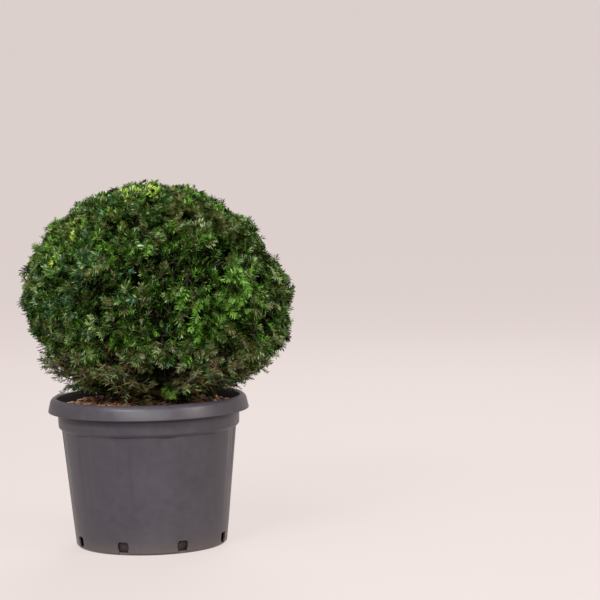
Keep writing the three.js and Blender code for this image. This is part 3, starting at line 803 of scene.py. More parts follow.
fork_toward = twig_directions(CROWN_TWIGS, CROWN_LOWEST)
fork_across = unit(np.cross(fork_toward, UP))
fork_across = turned_about(fork_across, fork_toward, chance(np.arange(CROWN_TWIGS), 2) * math.pi)
fork_across = FORK_SPREAD * fork_across
spray_number = np.arange(2 * CROWN_TWIGS)
spray_toward = np.stack([fork_toward + fork_across, fork_toward - fork_across], axis=1)
spray_toward = unit(spray_toward).reshape(-1, 3)
spray_lean = spray_leans(spray_toward, spray_number)
spray_inward = spray_toward * math.cos(SPRAY_SLANT) - spray_lean * math.sin(SPRAY_SLANT)
spray_root = crown_point(spray_inward, SPRAY_ROOT_SHARE)
spray_tip = crown_point(spray_toward, SPRAY_TIP_SHARE + 0.05 * chance(spray_number, 3))
limb_samples = np.concatenate([leader_path[0, 4:], bough_path[:, 14:].reshape(-1, 3)])
spray_foot = nearest_samples(limb_samples, crown_point(spray_inward, SPRAY_AIM_SHARE))
spray_bend = spray_foot + (spray_root - spray_foot) * 0.5 - UP * 0.012
spray_middle = (spray_root + spray_tip) / 2 + spray_lean * 0.004
inward_part = curve(spray_foot, spray_bend, spray_root, INNER_SAMPLES)
outward_part = curve(spray_root, spray_middle, spray_tip, OUTER_SAMPLES)[:, 1:]
spray_path = np.concatenate([inward_part, outward_part], axis=1)
spray_path[:, 1:-1] = (spray_path[:, :-2] + 2 * spray_path[:, 1:-1] + spray_path[:, 2:]) / 4
fork_tube = limb_tubes(spray_path, np.linspace(*FORK_RADII, spray_path.shape[1]), 5)

branchlet_number = np.arange(BRANCHLETS)
branchlet_wander = drift(branchlet_number, 21)
branchlet_toward = unit(twig_directions(BRANCHLETS, BRANCHLET_LOWEST) + 0.06 * branchlet_wander)
small_pads = lumps(branchlet_toward * [1, 1, 1.6], 0.15, 52)
pads = broad_pads(branchlet_toward) * 0.65 + small_pads * 0.35
hollow = np.maximum(np.clip(-pads - 0.24, 0, 0.36) / 0.36, pits(branchlet_toward))
branchlet_fall = -np.degrees(np.arcsin(branchlet_toward[:, 2])) / LAYER_DEGREES
layer_wave = 1.5 * lumps(branchlet_toward, 0.55, 53) + 0.8 * lumps(branchlet_toward, 0.25, 54)
layer = (branchlet_fall + layer_wave) % 1 - 0.5
branchlet_share = BRANCHLET_SHARE + PAD_DEPTH * pads + LAYER_DEPTH * layer - POCKET_DEPTH * hollow
branchlet_tip = crown_point(branchlet_toward, branchlet_share)
parent = (branchlet_toward @ spray_toward.T).argmax(axis=1)
branchlet_foot = along_paths(spray_path, parent, 0.52 + 0.42 * chance(branchlet_number, 24))
branchlet_bend = (branchlet_foot + branchlet_tip) / 2 + spray_lean[parent] * 0.006 - UP * 0.005
branchlet_path = curve(branchlet_foot, branchlet_bend, branchlet_tip, BRANCHLET_SAMPLES)
branchlet_tube = limb_tubes(branchlet_path, np.linspace(*BRANCHLET_RADII, BRANCHLET_SAMPLES), 3)

# The year's shoots on the branchlets, given as place along the branchlet, degrees of opening,
# length and chance, and the shorter ones inside. The shears stop each at the clipped surface,
# and went deeper at the places given as azimuth, elevation, depth and spread.
SHOOT_PLACES = [
    (0.92, 10, 0.027, 1.00), (0.80, 44, 0.028, 0.95), (0.68, -50, 0.030, 0.92), (0.55, 56, 0.030, 0.80),
    (0.42, -60, 0.030, 0.62), (0.28, 64, 0.032, 0.40),
]
OUTER_PLACES = 2
SHORTEST_SHOOT = 0.012
UNDERSIDE_THINNING = 0.86
UNDERSIDE_START = 0.42
UNDERSIDE_RANGE = 0.24
SHOOT_SAG = 0.06
SHOOT_STRAY = 0.8
STRAY_REACH = 0.035
STRAY_FROM_CHANCE = 0.97
CLIP_SHARE = 0.962
CLIP_WANDER = 0.035
CLIP_STEP = 0.035
CLIP_NOTCH = 0.04
PIT_NOTCH = 0.09
CLOSE_CLIPS = [
    (184, -30, 0.12, 13), (182, 9, 0.055, 14), (180, 58, 0.05, 12), (350, -50, 0.10, 13),
    (354, 44, 0.06, 17), (210, -32, 0.05, 13), (182, -12, 0.06, 11), (356, 26, 0.045, 13),
    (357, 13, 0.07, 12), (10, 84, 0.06, 13), (180, 76, 0.03, 12), (180, 38, 0.035, 10),
]
INNER_SHOOTS = 15
INNER_CLIP_SHARE = 0.86
INNER_LOWEST = -0.62
INNER_SAG = 0.05
INNER_STEM_RADIUS = 0.0011


def closer_clip(toward):
    """How much of the crown's reach the shears took off beyond the common clip: the sum of
    depth * nearness over the places clipped closer."""
    return sum(depth * nearness(toward, *place, spread) for *place, depth, spread in CLOSE_CLIPS)


def crown_share(points):
    """How far out points lie, as a share of the crown's reach in their own direction."""
    offset = points - CROWN_CENTRE
    length = np.linalg.norm(offset, axis=-1)
    return length / crown_reach(offset / np.maximum(length, 1e-9)[..., None])


def clipped_lengths(start, toward, length, limit):
    """Shoot lengths cut back so that no tip passes its own limit of the crown's reach: the
    share grows nearly straight along a shoot, so three corrections are enough."""
    from_share = crown_share(start)
    for _ in range(3):
        to_share = crown_share(start + toward * length[:, None])
        grow = np.clip((limit - from_share) / np.maximum(to_share - from_share, 1e-6), 0.25, 1)
        length = np.where(to_share > limit, length * grow, length)
    return length


def bowed_paths(start, toward, length, sag):
    """Three points for each shoot: its start, its middle, lowered by a share of its length,
    and its end."""
    reach = toward * length[:, None]
    return np.stack([start, start + reach / 2 - UP * sag * length[:, None], start + reach], axis=1)


def hands(slot):
    """1 for the shoots or needles on one side, -1 for those on the other, by turns."""
    return 1 - 2 * (slot % 2)


shoot_row = np.tile(branchlet_number, len(SHOOT_PLACES))
shoot_slot = np.repeat(np.arange(len(SHOOT_PLACES)), BRANCHLETS)
shoot_number = shoot_row * 7 + shoot_slot
place_share, open_degrees, shoot_length, keep_chance = np.array(SHOOT_PLACES)[shoot_slot].T
underside = np.clip((-branchlet_toward[:, 2] - UNDERSIDE_START) / UNDERSIDE_RANGE, 0, 1)
thinning = 1 - UNDERSIDE_THINNING * underside
keep_chance = keep_chance * (1 - 0.7 * hollow[shoot_row]) * thinning[shoot_row]
open_degrees = open_degrees + 24 * (chance(shoot_number, 33) - 0.5)
open_angle = np.radians(open_degrees) * np.where(chance(shoot_row, 35) > 0.5, 1, -1)
branchlet_plane = unit(0.6 * spray_lean[parent] + 0.7 * branchlet_toward + 1.2 * branchlet_wander)
shoot_ahead = unit(branchlet_path[:, -1] - branchlet_path[:, 1])[shoot_row]
shoot_side = unit(np.cross(shoot_ahead, branchlet_plane[shoot_row]))
shoot_side = turned_about(shoot_side, shoot_ahead, 2.2 * (chance(shoot_number, 34) - 0.5))
shoot_lift = 0.5 * (chance(shoot_number, 36) - 0.25)
shoot_toward = swung(shoot_ahead, shoot_side, open_angle) + SHOOT_STRAY * drift(shoot_number, 45)
shoot_toward = unit(shoot_toward + UP * shoot_lift[:, None])
shoot_start = along_paths(branchlet_path, shoot_row, place_share + 0.1 * (chance(shoot_number, 38) - 0.5))
stray = np.where(chance(shoot_number, 39) > STRAY_FROM_CHANCE, STRAY_REACH, 0)
limit = CLIP_SHARE + 0.045 * (chance(shoot_number, 40) - 0.5) + stray
surface = CLIP_WANDER * pads + CLIP_STEP * layer - CLIP_NOTCH * hollow - closer_clip(branchlet_toward)
shoot_reach = unit(shoot_start + shoot_toward * shoot_length[:, None] - CROWN_CENTRE)
limit = limit + surface[shoot_row] - PIT_NOTCH * pits(shoot_reach)
shoot_length = shoot_length * (0.8 + 0.45 * chance(shoot_number, 32))
shoot_length = clipped_lengths(shoot_start, shoot_toward, shoot_length, limit)
kept = (chance(shoot_number, 31) < keep_chance) & (shoot_length > SHORTEST_SHOOT)
shoot_path = bowed_paths(shoot_start, shoot_toward, shoot_length, SHOOT_SAG)[kept]
shoot_row, shoot_slot, shoot_number = shoot_row[kept], shoot_slot[kept], shoot_number[kept]

# Shorter shoots inside the crown. Their needles are all drawn near black below: painted shade.
inner_row = np.repeat(np.arange(len(spray_path)), INNER_SHOOTS)
inner_number = 30000 + np.arange(len(inner_row))
inner_ahead = unit(spray_path[:, 8] - spray_path[:, 2])[inner_row]
inner_side = unit(np.cross(inner_ahead, UP + 0.01))
inner_side = turned_about(inner_side, inner_ahead, chance(inner_number, 42) * math.tau)
inner_toward = unit(inner_ahead * 0.45 + inner_side)
inner_start = along_paths(spray_path, inner_row, 0.25 + 0.45 * chance(inner_number, 43))
inner_length = 0.045 + 0.03 * chance(inner_number, 44)
inner_length = clipped_lengths(inner_start, inner_toward, inner_length, INNER_CLIP_SHARE)
inner_path = bowed_paths(inner_start, inner_toward, inner_length, INNER_SAG)
inner_rise = unit(inner_start - CROWN_CENTRE)[:, 2]
clothed = inner_rise > INNER_LOWEST + 0.2 * (chance(inner_number, 48) - 0.5)
inner_path, inner_side, inner_number = inner_path[clothed], inner_side[clothed], inner_number[clothed]

# Long shoots that lie over the ball: each rises out of a twig and then runs on along the
# surface, swept the same way as its neighbours and sunk where it passes a pit. Each grew in
# two years, given as shares of its path, with its needles combed to its left and right.
LONG_SHOOTS = 1300
LONG_LOWEST = 0.62
LONG_RUN = 0.24
LONG_SHARE = 0.955
LONG_SAMPLES = 10
LONG_RADII = (0.0014, 0.0008)
LONG_FOOT_SHARE = 0.82
LONG_SINKS = 0.13
LONG_STRAY_REACH = 0.04
LONG_STRAY_FROM_CHANCE = 0.93
DEEPEST_STANDING = 0.4
LONG_YEARS = [(0.40, 0.71), (0.71, 1.0)]
long_number = np.arange(LONG_SHOOTS)
long_toward = unit(twig_directions(LONG_SHOOTS, LONG_LOWEST) + 0.10 * drift(long_number, 101))
standing = chance(long_number, 100) < 0.75 + 0.6 * broad_pads(long_toward)
standing &= pits(long_toward) < DEEPEST_STANDING
long_number, long_toward = long_number[standing], long_toward[standing]
long_count = len(long_number)
downhill = unit(long_toward * long_toward[:, 2:] - UP)
long_turn = np.radians(130 * lumps(long_toward, 0.3, 106) + 70 * (chance(long_number, 104) - 0.5))
long_way = LONG_RUN * swung(downhill, np.cross(downhill, long_toward), long_turn)
long_share = LONG_SHARE + 0.03 * broad_pads(long_toward) + 0.03 * (chance(long_number, 105) - 0.5)
long_stray = np.where(chance(long_number, 110) > LONG_STRAY_FROM_CHANCE, LONG_STRAY_REACH, 0)
over_pit = [pits(unit(long_toward - behind * long_way)) for behind in (0.3, 0.55)]
long_share = long_share + long_stray - closer_clip(long_toward) - LONG_SINKS * np.max(over_pit, axis=0)
long_tip = crown_point(long_toward, long_share)
long_bend = crown_point(unit(long_toward - 0.6 * long_way), long_share - 0.015)
long_aim = crown_point(unit(long_toward - long_way), LONG_FOOT_SHARE)
long_foot = nearest_samples(spray_path[:, 6:].reshape(-1, 3), long_aim)
long_path = curve(long_foot, long_bend, long_tip, LONG_SAMPLES)
long_tube = limb_tubes(long_path, np.linspace(*LONG_RADII, LONG_SAMPLES), 3)
long_row = np.tile(np.arange(long_count), len(LONG_YEARS))
long_year = np.repeat(np.arange(len(LONG_YEARS)), long_count)
year_start, year_end = np.array(LONG_YEARS)[long_year].T
year_places = [year_start + (year_end - year_start) * part for part in (0, 0.5, 1)]
long_shoot_path = np.stack([along_paths(long_path, long_row, place) for place in year_places], axis=1)
long_shoot_number = 60000 + long_number[long_row] * 2 + long_year
long_plane = unit(long_toward + 0.3 * UP + 0.9 * drift(long_number, 101))

# The low twigs: stems that fork off the low boughs, given as bough, degrees of turn and place
# along it, with loose short shoots on them. The one at the front ends in a light tuft.
LOW_FORKS = np.array([
    (0, -30, 0.70), (0, 3, 1.0), (0, 24, 0.84), (1, 0, 1.0), (2, -26, 0.84), (2, 0, 1.0), (2, 30, 0.72),
    (3, -34, 0.72), (3, 0, 1.0), (3, 30, 0.84), (4, -34, 0.72), (4, 0, 1.0), (4, 30, 0.84),
])
TUFT_BOUGH = 1
TUFT_START = 0.36
LOW_SHOOTS = 26
LOW_SAMPLES = 8
LOW_RADII = (0.0034, 0.0011)
LOW_SHOOT_LENGTH = 0.030
TUFT_SHOOT_LENGTH = 0.021
LOW_SHOOTS_KEPT = 0.55
TUFT_SHOOTS_KEPT = 0.6
LOW_SHOOT_SAG = -0.06
low_bough_row = LOW_FORKS[:, 0].astype(int)
low_stems = len(LOW_FORKS)
low_stem_number = np.arange(low_stems)
low_stem_run = direction(low_azimuth[low_bough_row] + LOW_FORKS[:, 1], np.zeros(low_stems))
low_stem_foot = along_paths(low_path, low_bough_row, LOW_FORKS[:, 2])
low_stem_reach = 0.066 + 0.022 * chance(low_stem_number, 9)
low_stem_end = low_stem_foot + low_stem_run * low_stem_reach[:, None] + UP * 0.004
low_stem_bend = (low_stem_foot + low_stem_end) / 2 + UP * 0.014
low_stem_path = curve(low_stem_foot, low_stem_bend, low_stem_end, LOW_SAMPLES)
low_stem_tube = limb_tubes(low_stem_path, np.linspace(*LOW_RADII, LOW_SAMPLES), 6)
low_row = np.repeat(low_stem_number, LOW_SHOOTS)
low_slot = np.tile(np.arange(LOW_SHOOTS), low_stems)
low_number = 20000 + low_row * 100 + low_slot
in_tuft = low_bough_row[low_row] == TUFT_BOUGH
low_along = (low_slot + 0.6) / LOW_SHOOTS
low_along = np.where(in_tuft, TUFT_START + (1 - TUFT_START) * low_along, low_along)
low_open = np.radians(66 - 48 * low_along + 24 * (chance(low_number, 6) - 0.5)) * hands(low_slot)
low_ahead = low_stem_run[low_row]
low_lift = 0.8 * (chance(low_number, 7) - 0.45)
low_toward = swung(low_ahead, np.cross(UP, low_ahead), low_open) + SHOOT_STRAY * drift(low_number, 11)
low_toward = unit(low_toward + UP * low_lift[:, None])
low_start = along_paths(low_stem_path, low_row, low_along)
low_length = np.where(in_tuft, TUFT_SHOOT_LENGTH, LOW_SHOOT_LENGTH)
low_length = low_length * (0.65 + 0.6 * chance(low_number, 8))
low_shoot_path = bowed_paths(low_start, low_toward, low_length, LOW_SHOOT_SAG)
kept = chance(low_number, 10) < np.where(in_tuft, TUFT_SHOOTS_KEPT, LOW_SHOOTS_KEPT)
low_row, low_number, low_shoot_path = low_row[kept], low_number[kept], low_shoot_path[kept]
in_tuft = in_tuft[kept]

# The skirt: thin twigs that leave the stem low down and fan out under the crown, with shoots
# that hang from them. It is bare in two gaps and comes lower and further out in two aprons,
# given as degrees round the stem.
SKIRT_TWIGS = 260
SKIRT_SHOOTS = 9
SKIRT_SAMPLES = 10
SKIRT_GAPS = [(206, 246, -46), (262, 289, -26)]
APRONS = [(244, 266), (286, 306)]
APRON_DROP = 0.014
APRON_REACH = 0.03
SKIRT_LOWEST = -74
SKIRT_RANGE = 48
SKIRT_BEND = [0.6, 0.6, 0.15]
SKIRT_RADII = (0.0036, 0.0012)
SKIRT_OVER_SOIL = 0.012
SHOOTS_OVER_SOIL = 0.006
SKIRT_SHOOT_LENGTH = 0.033
SKIRT_SHOOT_STRAY = 1.2
SKIRT_SHOOT_SAG = -0.08
STEM_RADIUS = 0.0008


def in_arc(azimuth, first, last):
    """Whether azimuths lie between a first and a last one, all in degrees."""
    return (azimuth - first) % 360 < last - first


skirt_number = np.arange(SKIRT_TWIGS)
skirt_azimuth = np.degrees(skirt_number * GOLDEN_ANGLE)
skirt_fall = SKIRT_LOWEST + SKIRT_RANGE * chance(skirt_number, 81)
in_gap = [in_arc(skirt_azimuth, *arc) & (skirt_fall < above) for *arc, above in SKIRT_GAPS]
hanging = ~np.any(in_gap, axis=0)
skirt_number, skirt_azimuth = skirt_number[hanging], skirt_azimuth[hanging]
skirt_toward = direction(skirt_azimuth, skirt_fall[hanging])
skirt_foot = trunk_middle(0.020 + 0.054 * chance(skirt_number, 82))
in_apron = np.any([in_arc(skirt_azimuth, *arc) for arc in APRONS], axis=0)[:, None]
skirt_end = crown_point(skirt_toward, 0.88 + 0.11 * chance(skirt_number, 83))
skirt_end = skirt_end + in_apron * (APRON_REACH * unit(skirt_toward * [1, 1, 0]) - APRON_DROP * UP)
skirt_end[:, 2] = np.maximum(skirt_end[:, 2], SOIL_TOP + SKIRT_OVER_SOIL)
skirt_bend = skirt_foot + (skirt_end - skirt_foot) * SKIRT_BEND
skirt_path = curve(skirt_foot, skirt_bend, skirt_end, SKIRT_SAMPLES)
skirt_tube = limb_tubes(skirt_path, np.linspace(*SKIRT_RADII, SKIRT_SAMPLES), 6)
skirt_row = np.repeat(np.arange(len(skirt_number)), SKIRT_SHOOTS)
skirt_slot = np.tile(np.arange(SKIRT_SHOOTS), len(skirt_number))
skirt_shoot_number = 40000 + skirt_row * 20 + skirt_slot
skirt_along = (skirt_slot + 0.7) / SKIRT_SHOOTS
skirt_ahead = unit(skirt_path[:, -1] - skirt_path[:, 3])[skirt_row]
skirt_open = np.radians(62 - 44 * skirt_along**2) * hands(skirt_slot)
skirt_lift = 0.8 * (chance(skirt_shoot_number, 84) - 0.55)
hang_toward = swung(skirt_ahead, unit(np.cross(skirt_ahead, UP)), skirt_open)
hang_toward = hang_toward + SKIRT_SHOOT_STRAY * drift(skirt_shoot_number, 86)
hang_toward = unit(hang_toward + UP * skirt_lift[:, None])
hang_start = along_paths(skirt_path, skirt_row, 0.40 + 0.58 * skirt_along)
hang_length = SKIRT_SHOOT_LENGTH * (0.65 + 0.6 * chance(skirt_shoot_number, 85))
above_soil = (hang_start[:, 2] - SOIL_TOP - SHOOTS_OVER_SOIL) / np.maximum(-hang_toward[:, 2], 0.01)
hang_length = np.where(hang_toward[:, 2] < 0, np.minimum(hang_length, above_soil), hang_length)
hang_length = np.maximum(hang_length, SHORTEST_SHOOT)
skirt_shoot_path = bowed_paths(hang_start, hang_toward, hang_length, SKIRT_SHOOT_SAG)


def spindles(paths, radius):
    """Thin shoots as double pyramids of three sides: a pole at each end of the path and one
    ring of the given radius at its middle point."""
    spokes = spokes_across(unit(paths[:, 2:] - paths[:, :1]), 3)[:, 0]
    points = np.concatenate([paths[:, :1], paths[:, 1:2] + spokes * radius, paths[:, 2:]], axis=1)
    sides = [[0, 2, 1], [0, 3, 2], [0, 1, 3], [1, 2, 4], [2, 3, 4], [3, 1, 4]]
    return points.reshape(-1, 3), [copied_faces(sides, len(paths), 5)]


# What these twigs and shoots are drawn as: dull old bark in the crown, darkened to near
# black as painted shade, redder young bark on the low twigs, and the olive green skin of
# shoots a year or two old.
outer_paths = np.concatenate([shoot_path, long_shoot_path, low_shoot_path, skirt_shoot_path])
# Crown twigs near black: painted shade of the crown's inside.
twig_bark_painted_shade = new_finish(
    "twig_bark_painted_shade", (24, 18, 12), (46, 36, 24), scale=110, contrast=2.2, roughness=0.8, gloss=0.2,
    relief=(0.4, 0.0008),
)
young_bark = new_finish(
    "young_bark", (74, 50, 35), (124, 92, 66), scale=120, contrast=2.2, roughness=0.7, relief=(0.4, 0.0006)
)
green_stem = new_finish("green_stem", (67, 62, 34), (85, 91, 45), scale=60, contrast=2.2, roughness=0.6)
crown_twigs = joined([fork_tube, branchlet_tube, spindles(inner_path, INNER_STEM_RADIUS), long_tube])
for name, shape, finish, slot in [
    ("brown_twigs", crown_twigs, twig_bark_painted_shade, "bark"),
    ("low_twigs", joined([low_stem_tube, skirt_tube]), young_bark, "bark"),
    ("shoot_stems", spindles(outer_paths, STEM_RADIUS), green_stem, "needles"),
]:
    stems = new_piece(name, *shape, finish)
    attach(stems, "root")

# The needles: flat, pointed and leathery, set along both sides of each shoot like a comb and
# folded a little along the middle rib. Old ones are dark and glossy; new ones are light.
# Needles deep in the crown, inside it and near the stem below it are drawn darker, down to
# near black: painted shade.
NEEDLES_ON_SHOOT = 26
NEEDLE_LENGTH = 0.0165
NEEDLE_WIDTH = 0.0018
SLIM_NEEDLE_WIDTH = NEEDLE_WIDTH * 1.3
INNER_NEEDLES_ON_SHOOT = 24
INNER_NEEDLE_LENGTH = 0.021
INNER_NEEDLE_WIDTH = 0.0036
BLADE_FACES = [[0, 1, 2, 3], [0, 3, 4, 5]]
SLIVER_FACES = [[0, 1, 2], [0, 2, 3]]
MOST_TRIANGLES = 198000
LONG_LOOSE = 0.45
LOW_LOOSE = 0.7
LIME_IN_TUFT = 0.6
WITH_FAMILY = 0.6
# Name, two colours, gloss, common share, the next lighter shade and the next darker one.
NEEDLE_SHADES = [
    # shaded: near-black green for needles deep in or inside the crown, painted shade.
    ("shaded", (5, 9, 2), (12, 20, 4), 0.0, 0.0, "deep", "shaded"),
    ("deep", (20, 40, 5), (38, 64, 10), 0.05, 0.48, "mid", "shaded"),
    ("mid", (40, 67, 13), (66, 98, 29), 0.45, 0.27, "pale", "deep"),
    ("olive", (60, 64, 20), (90, 93, 36), 0.45, 0.16, "dusty", "deep"),
    ("teal", (32, 70, 42), (58, 104, 66), 0.45, 0.03, "pale", "deep"),
    ("fresh", (54, 98, 18), (92, 140, 38), 0.4, 0.09, "lime", "deep"),
    ("lime", (90, 128, 46), (126, 160, 72), 0.4, 0.0, "lime", "mid"),
    ("dusty", (76, 79, 48), (110, 114, 78), 0.5, 0.016, "pale", "olive"),
    # pale: light new growth, greyed to the colour of glints on the needles: partly painted highlight.
    ("pale", (94, 114, 58), (138, 156, 94), 0.5, 0.014, "pale", "mid"),
    ("yellow", (148, 172, 46), (198, 214, 92), 0.35, 0.001, "yellow", "fresh"),
    ("rust", (70, 50, 34), (102, 76, 52), 0.3, 0.003, "olive", "shaded"),
]
# Salt of the noise, shade and strength.
SHADE_DRIFTS = [(61, "fresh", 0.8), (62, "olive", 0.8), (63, "teal", 0.5), (64, "yellow", 0.01)]
# Shade, strength and how far below the crown's middle it starts.
UNDERSIDE_SHADES = [("deep", 1.0, 0.45), ("olive", 2.2, 0.35), ("dusty", 2.1, 0.30), ("rust", 1.8, 0.55)]
LOW_SHADES = ["deep", "olive", "rust", "dusty", "deep", "olive", "rust", "teal", "dusty", "rust"]
# Azimuth, elevation, spread, shade and strength.
COLOUR_PATCHES = [
    (225, 79, 7, "yellow", 4.5), (221, 34, 4, "yellow", 1.6), (233, 21, 4, "lime", 0.9),
    (195, 18, 4, "yellow", 1.2), (222, 46, 3, "yellow", 0.5), (320, 43, 3, "yellow", 0.3),
    (327, -4, 5, "yellow", 0.2), (341, -9, 6, "yellow", 0.3), (246, 24, 3, "yellow", 0.1),
    (312, 3, 12, "fresh", 1.8), (318, -8, 12, "fresh", 1.7), (304, -2, 8, "fresh", 1.6),
    (295, -21, 8, "fresh", 0.8), (216, 32, 8, "fresh", 0.5), (259, 15, 6, "fresh", 0.6),
    (298, -10, 8, "fresh", 0.9), (270, 60, 7, "fresh", 0.4), (235, 22, 9, "teal", 0.9),
    (277, 9, 5, "teal", 0.8), (228, -3, 12, "teal", 0.8), (255, 3, 8, "teal", 0.6),
    # The broad pale patches at azimuth 203 and 345 are painted light on the left and right flanks.
    (203, 8, 20, "pale", 0.40), (345, 5, 20, "pale", 0.35), (205, -12, 16, "teal", 0.4),
    (292, 49, 13, "olive", 0.7), (300, 36, 12, "olive", 0.6), (315, 30, 10, "olive", 0.5),
    (256, 50, 9, "olive", 0.5), (233, -18, 10, "olive", 0.5), (303, -50, 14, "olive", 0.8),
    (314, -23, 9, "olive", 0.5), (243, -43, 12, "olive", 0.8), (262, 0, 6, "pale", 0.4),
    (240, -20, 9, "pale", 0.3), (300, -56, 9, "rust", 0.9), (246, -58, 10, "rust", 0.9),
    (316, -58, 12, "rust", 0.4), (286, -58, 6, "fresh", 6.0), (248, -34, 8, "rust", 0.5),
    (266, -40, 3, "yellow", 0.4),
]
shade_names, _, _, _, common_shares, lighter_names, darker_names = zip(*NEEDLE_SHADES)


def shade_of_shoots(toward, number, inner):
    """The shade of each shoot, drawn by chance from shares that change over the ball: common
    shares, broad drifts of noise, browner and darker shades underneath, patches of the
    plant's own colours, two broad pale patches of painted light on the left and right
    flanks, and near-black painted shade for shoots that lie deep."""
    shares = np.tile(common_shares, (len(toward), 1))
    for salt, name, strength in SHADE_DRIFTS:
        shares[:, shade_names.index(name)] += strength * np.clip(lumps(toward, 0.42, salt) - 0.35, 0, 1)
    for name, strength, depth in UNDERSIDE_SHADES:
        shares[:, shade_names.index(name)] += strength * np.clip(-toward[:, 2] - depth, 0, 1)
    for azimuth, elevation, spread, name, strength in COLOUR_PATCHES:
        shares[:, shade_names.index(name)] += strength * nearness(toward, azimuth, elevation, spread)
    # Shoots that lie deep take the near-black shade: painted shade.
    shares[:, shade_names.index("shaded")] += inner * 3
    shares[:, shade_names.index("yellow")] *= 1 - inner
    climb = np.cumsum(shares / shares.sum(axis=1, keepdims=True), axis=1)
    return (chance(number, 65)[:, None] > climb).sum(axis=1)


def shade_numbers(names):
    """The numbers of named shades, in the order of the table."""
    return np.array([shade_names.index(name) for name in names])


def needle_combs(paths, plane, number, count, longest, loose):
    """Needles on many shoots: at even steps along each shoot a needle leaves to the left or
    right at about sixty degrees, closing to the shoot's own direction at its tip, longest in
    the middle. loose, one number to a shoot, widens the turn of each needle out of the comb's
    plane. Returns foot, direction, width direction and length of each."""
    slot = np.arange(count)
    step = (slot + 0.7) / count
    seeds = number[:, None] * 41 + slot
    rows = np.broadcast_to(np.arange(len(paths))[:, None], seeds.shape)
    foot = along_paths(paths, rows, np.broadcast_to(step, seeds.shape))
    ahead = unit(paths[:, -1] - paths[:, 0])[:, None]
    across = unit(np.cross(ahead, plane[:, None]))
    over = np.cross(across, ahead)
    roll = (2.2 * (chance(seeds, 71) - 0.5) + 1.2 * (chance(number, 72)[:, None] - 0.5)) * loose[:, None]
    side = swung(across, over, roll)
    rise = np.cross(side, ahead)
    rise = rise * np.sign(np.sum(rise * over, axis=-1, keepdims=True))
    open_angle = np.radians(64 - 46 * step**3 + 26 * (chance(seeds, 73) - 0.5)) * hands(slot)
    lift = 0.2 + 0.5 * (chance(seeds, 74) - 0.5)
    toward = unit(swung(ahead, side, open_angle) + rise * lift[..., None])
    length = longest * (0.62 + 0.38 * np.sin(math.pi * np.clip(step * 0.9 + 0.12, 0, 1)))
    return foot, toward, unit(np.cross(rise, toward)), length * (0.8 + 0.4 * chance(seeds, 75))


def needle_blades(foot, toward, width_way, length, width):
    """Needles of six points: a foot, two points on each edge and a tip, in two quads that
    meet along the middle rib. The edges rise by a fifth of the width, and the tip droops."""
    over = np.cross(toward, width_way)
    ahead = toward * length[:, None]
    rise = over * length[:, None]
    sweep = width_way * length[:, None] * 0.06
    half = width_way * width / 2
    fold = over * width * 0.2
    near = foot + ahead * 0.24 + rise * 0.03 + sweep * 0.7 + fold
    far = foot + ahead * 0.72 + sweep + fold
    tip = foot + ahead - rise * 0.08
    return np.stack([foot, near - half, far - half * 0.8, tip, far + half * 0.8, near + half], axis=1)


def needle_slivers(foot, toward, width_way, length, width):
    """Slimmer needles of four points: a foot, one point on each edge and a tip, in two
    triangles that meet along the middle rib."""
    ahead = toward * length[:, None]
    half = width_way * width / 2
    middle = foot + ahead * 0.45 + np.cross(toward, width_way) * width * 0.2
    return np.stack([foot, middle - half, foot + ahead, middle + half], axis=1)


low_paths = np.concatenate([low_shoot_path, skirt_shoot_path])
low_count = len(low_paths)
crown_count = len(outer_paths) - low_count
outer_number = np.concatenate([shoot_number, long_shoot_number, low_number, skirt_shoot_number])
outer_family = np.concatenate([shoot_row, 6000 + long_number[long_row], 3000 + low_row, 4000 + skirt_row])
outer_plane = np.concatenate(
    [branchlet_plane[shoot_row], long_plane[long_row], np.broadcast_to(UP, (low_count, 3))]
)
outer_loose = np.repeat([1, LONG_LOOSE, LOW_LOOSE], [len(shoot_row), len(long_row), low_count])
outer_full = np.concatenate([shoot_slot < OUTER_PLACES, np.ones(len(long_row) + low_count, bool)])
under_crown = np.arange(len(outer_paths)) >= crown_count
tuft_rows = np.concatenate([np.zeros(crown_count, bool), in_tuft, np.zeros(len(skirt_row), bool)])
skirt_rows = under_crown & ~tuft_rows
# How deep each shoot lies: inside the crown, or near the stem below it. Deeper shoots are drawn darker
# below, as painted shade.
stem_distance = np.linalg.norm(low_paths[:, -1, :2], axis=-1)
low_depth = np.clip((0.175 - stem_distance) / 0.10, 0, 1) * skirt_rows[crown_count:]
crown_depth = np.clip((0.92 - crown_share(shoot_path[:, -1])) / 0.17, 0, 1)
outer_depth = np.concatenate([crown_depth, np.zeros(len(long_row)), low_depth])

in_family = (chance(outer_number, 66) < WITH_FAMILY) | (outer_loose == LONG_LOOSE)
outer_toward = unit(outer_paths[:, -1] - CROWN_CENTRE)
outer_shade = shade_of_shoots(outer_toward, np.where(in_family, outer_family, outer_number), outer_depth)
low_pick = (chance(outer_family, 67) * 0.7 + chance(outer_number, 68) * 0.3) * len(LOW_SHADES)
low_shade = shade_numbers(LOW_SHADES)[np.minimum(low_pick.astype(int), len(LOW_SHADES) - 1)]
# Low shoots near the stem often take the near-black shade: painted shade.
in_shade = chance(outer_number, 70) < outer_depth * 0.7
low_shade = np.where(in_shade, shade_names.index("shaded"), low_shade)
tuft_shade = shade_numbers(["pale", "lime"])[(chance(outer_number, 69) < LIME_IN_TUFT).astype(int)]
outer_shade = np.where(skirt_rows, low_shade, np.where(tuft_rows, tuft_shade, outer_shade))[:, None]
needle_step = np.arange(NEEDLES_ON_SHOOT) / NEEDLES_ON_SHOOT
needle_number = outer_number[:, None] * 41 + np.arange(NEEDLES_ON_SHOOT)
depth = outer_depth[:, None]
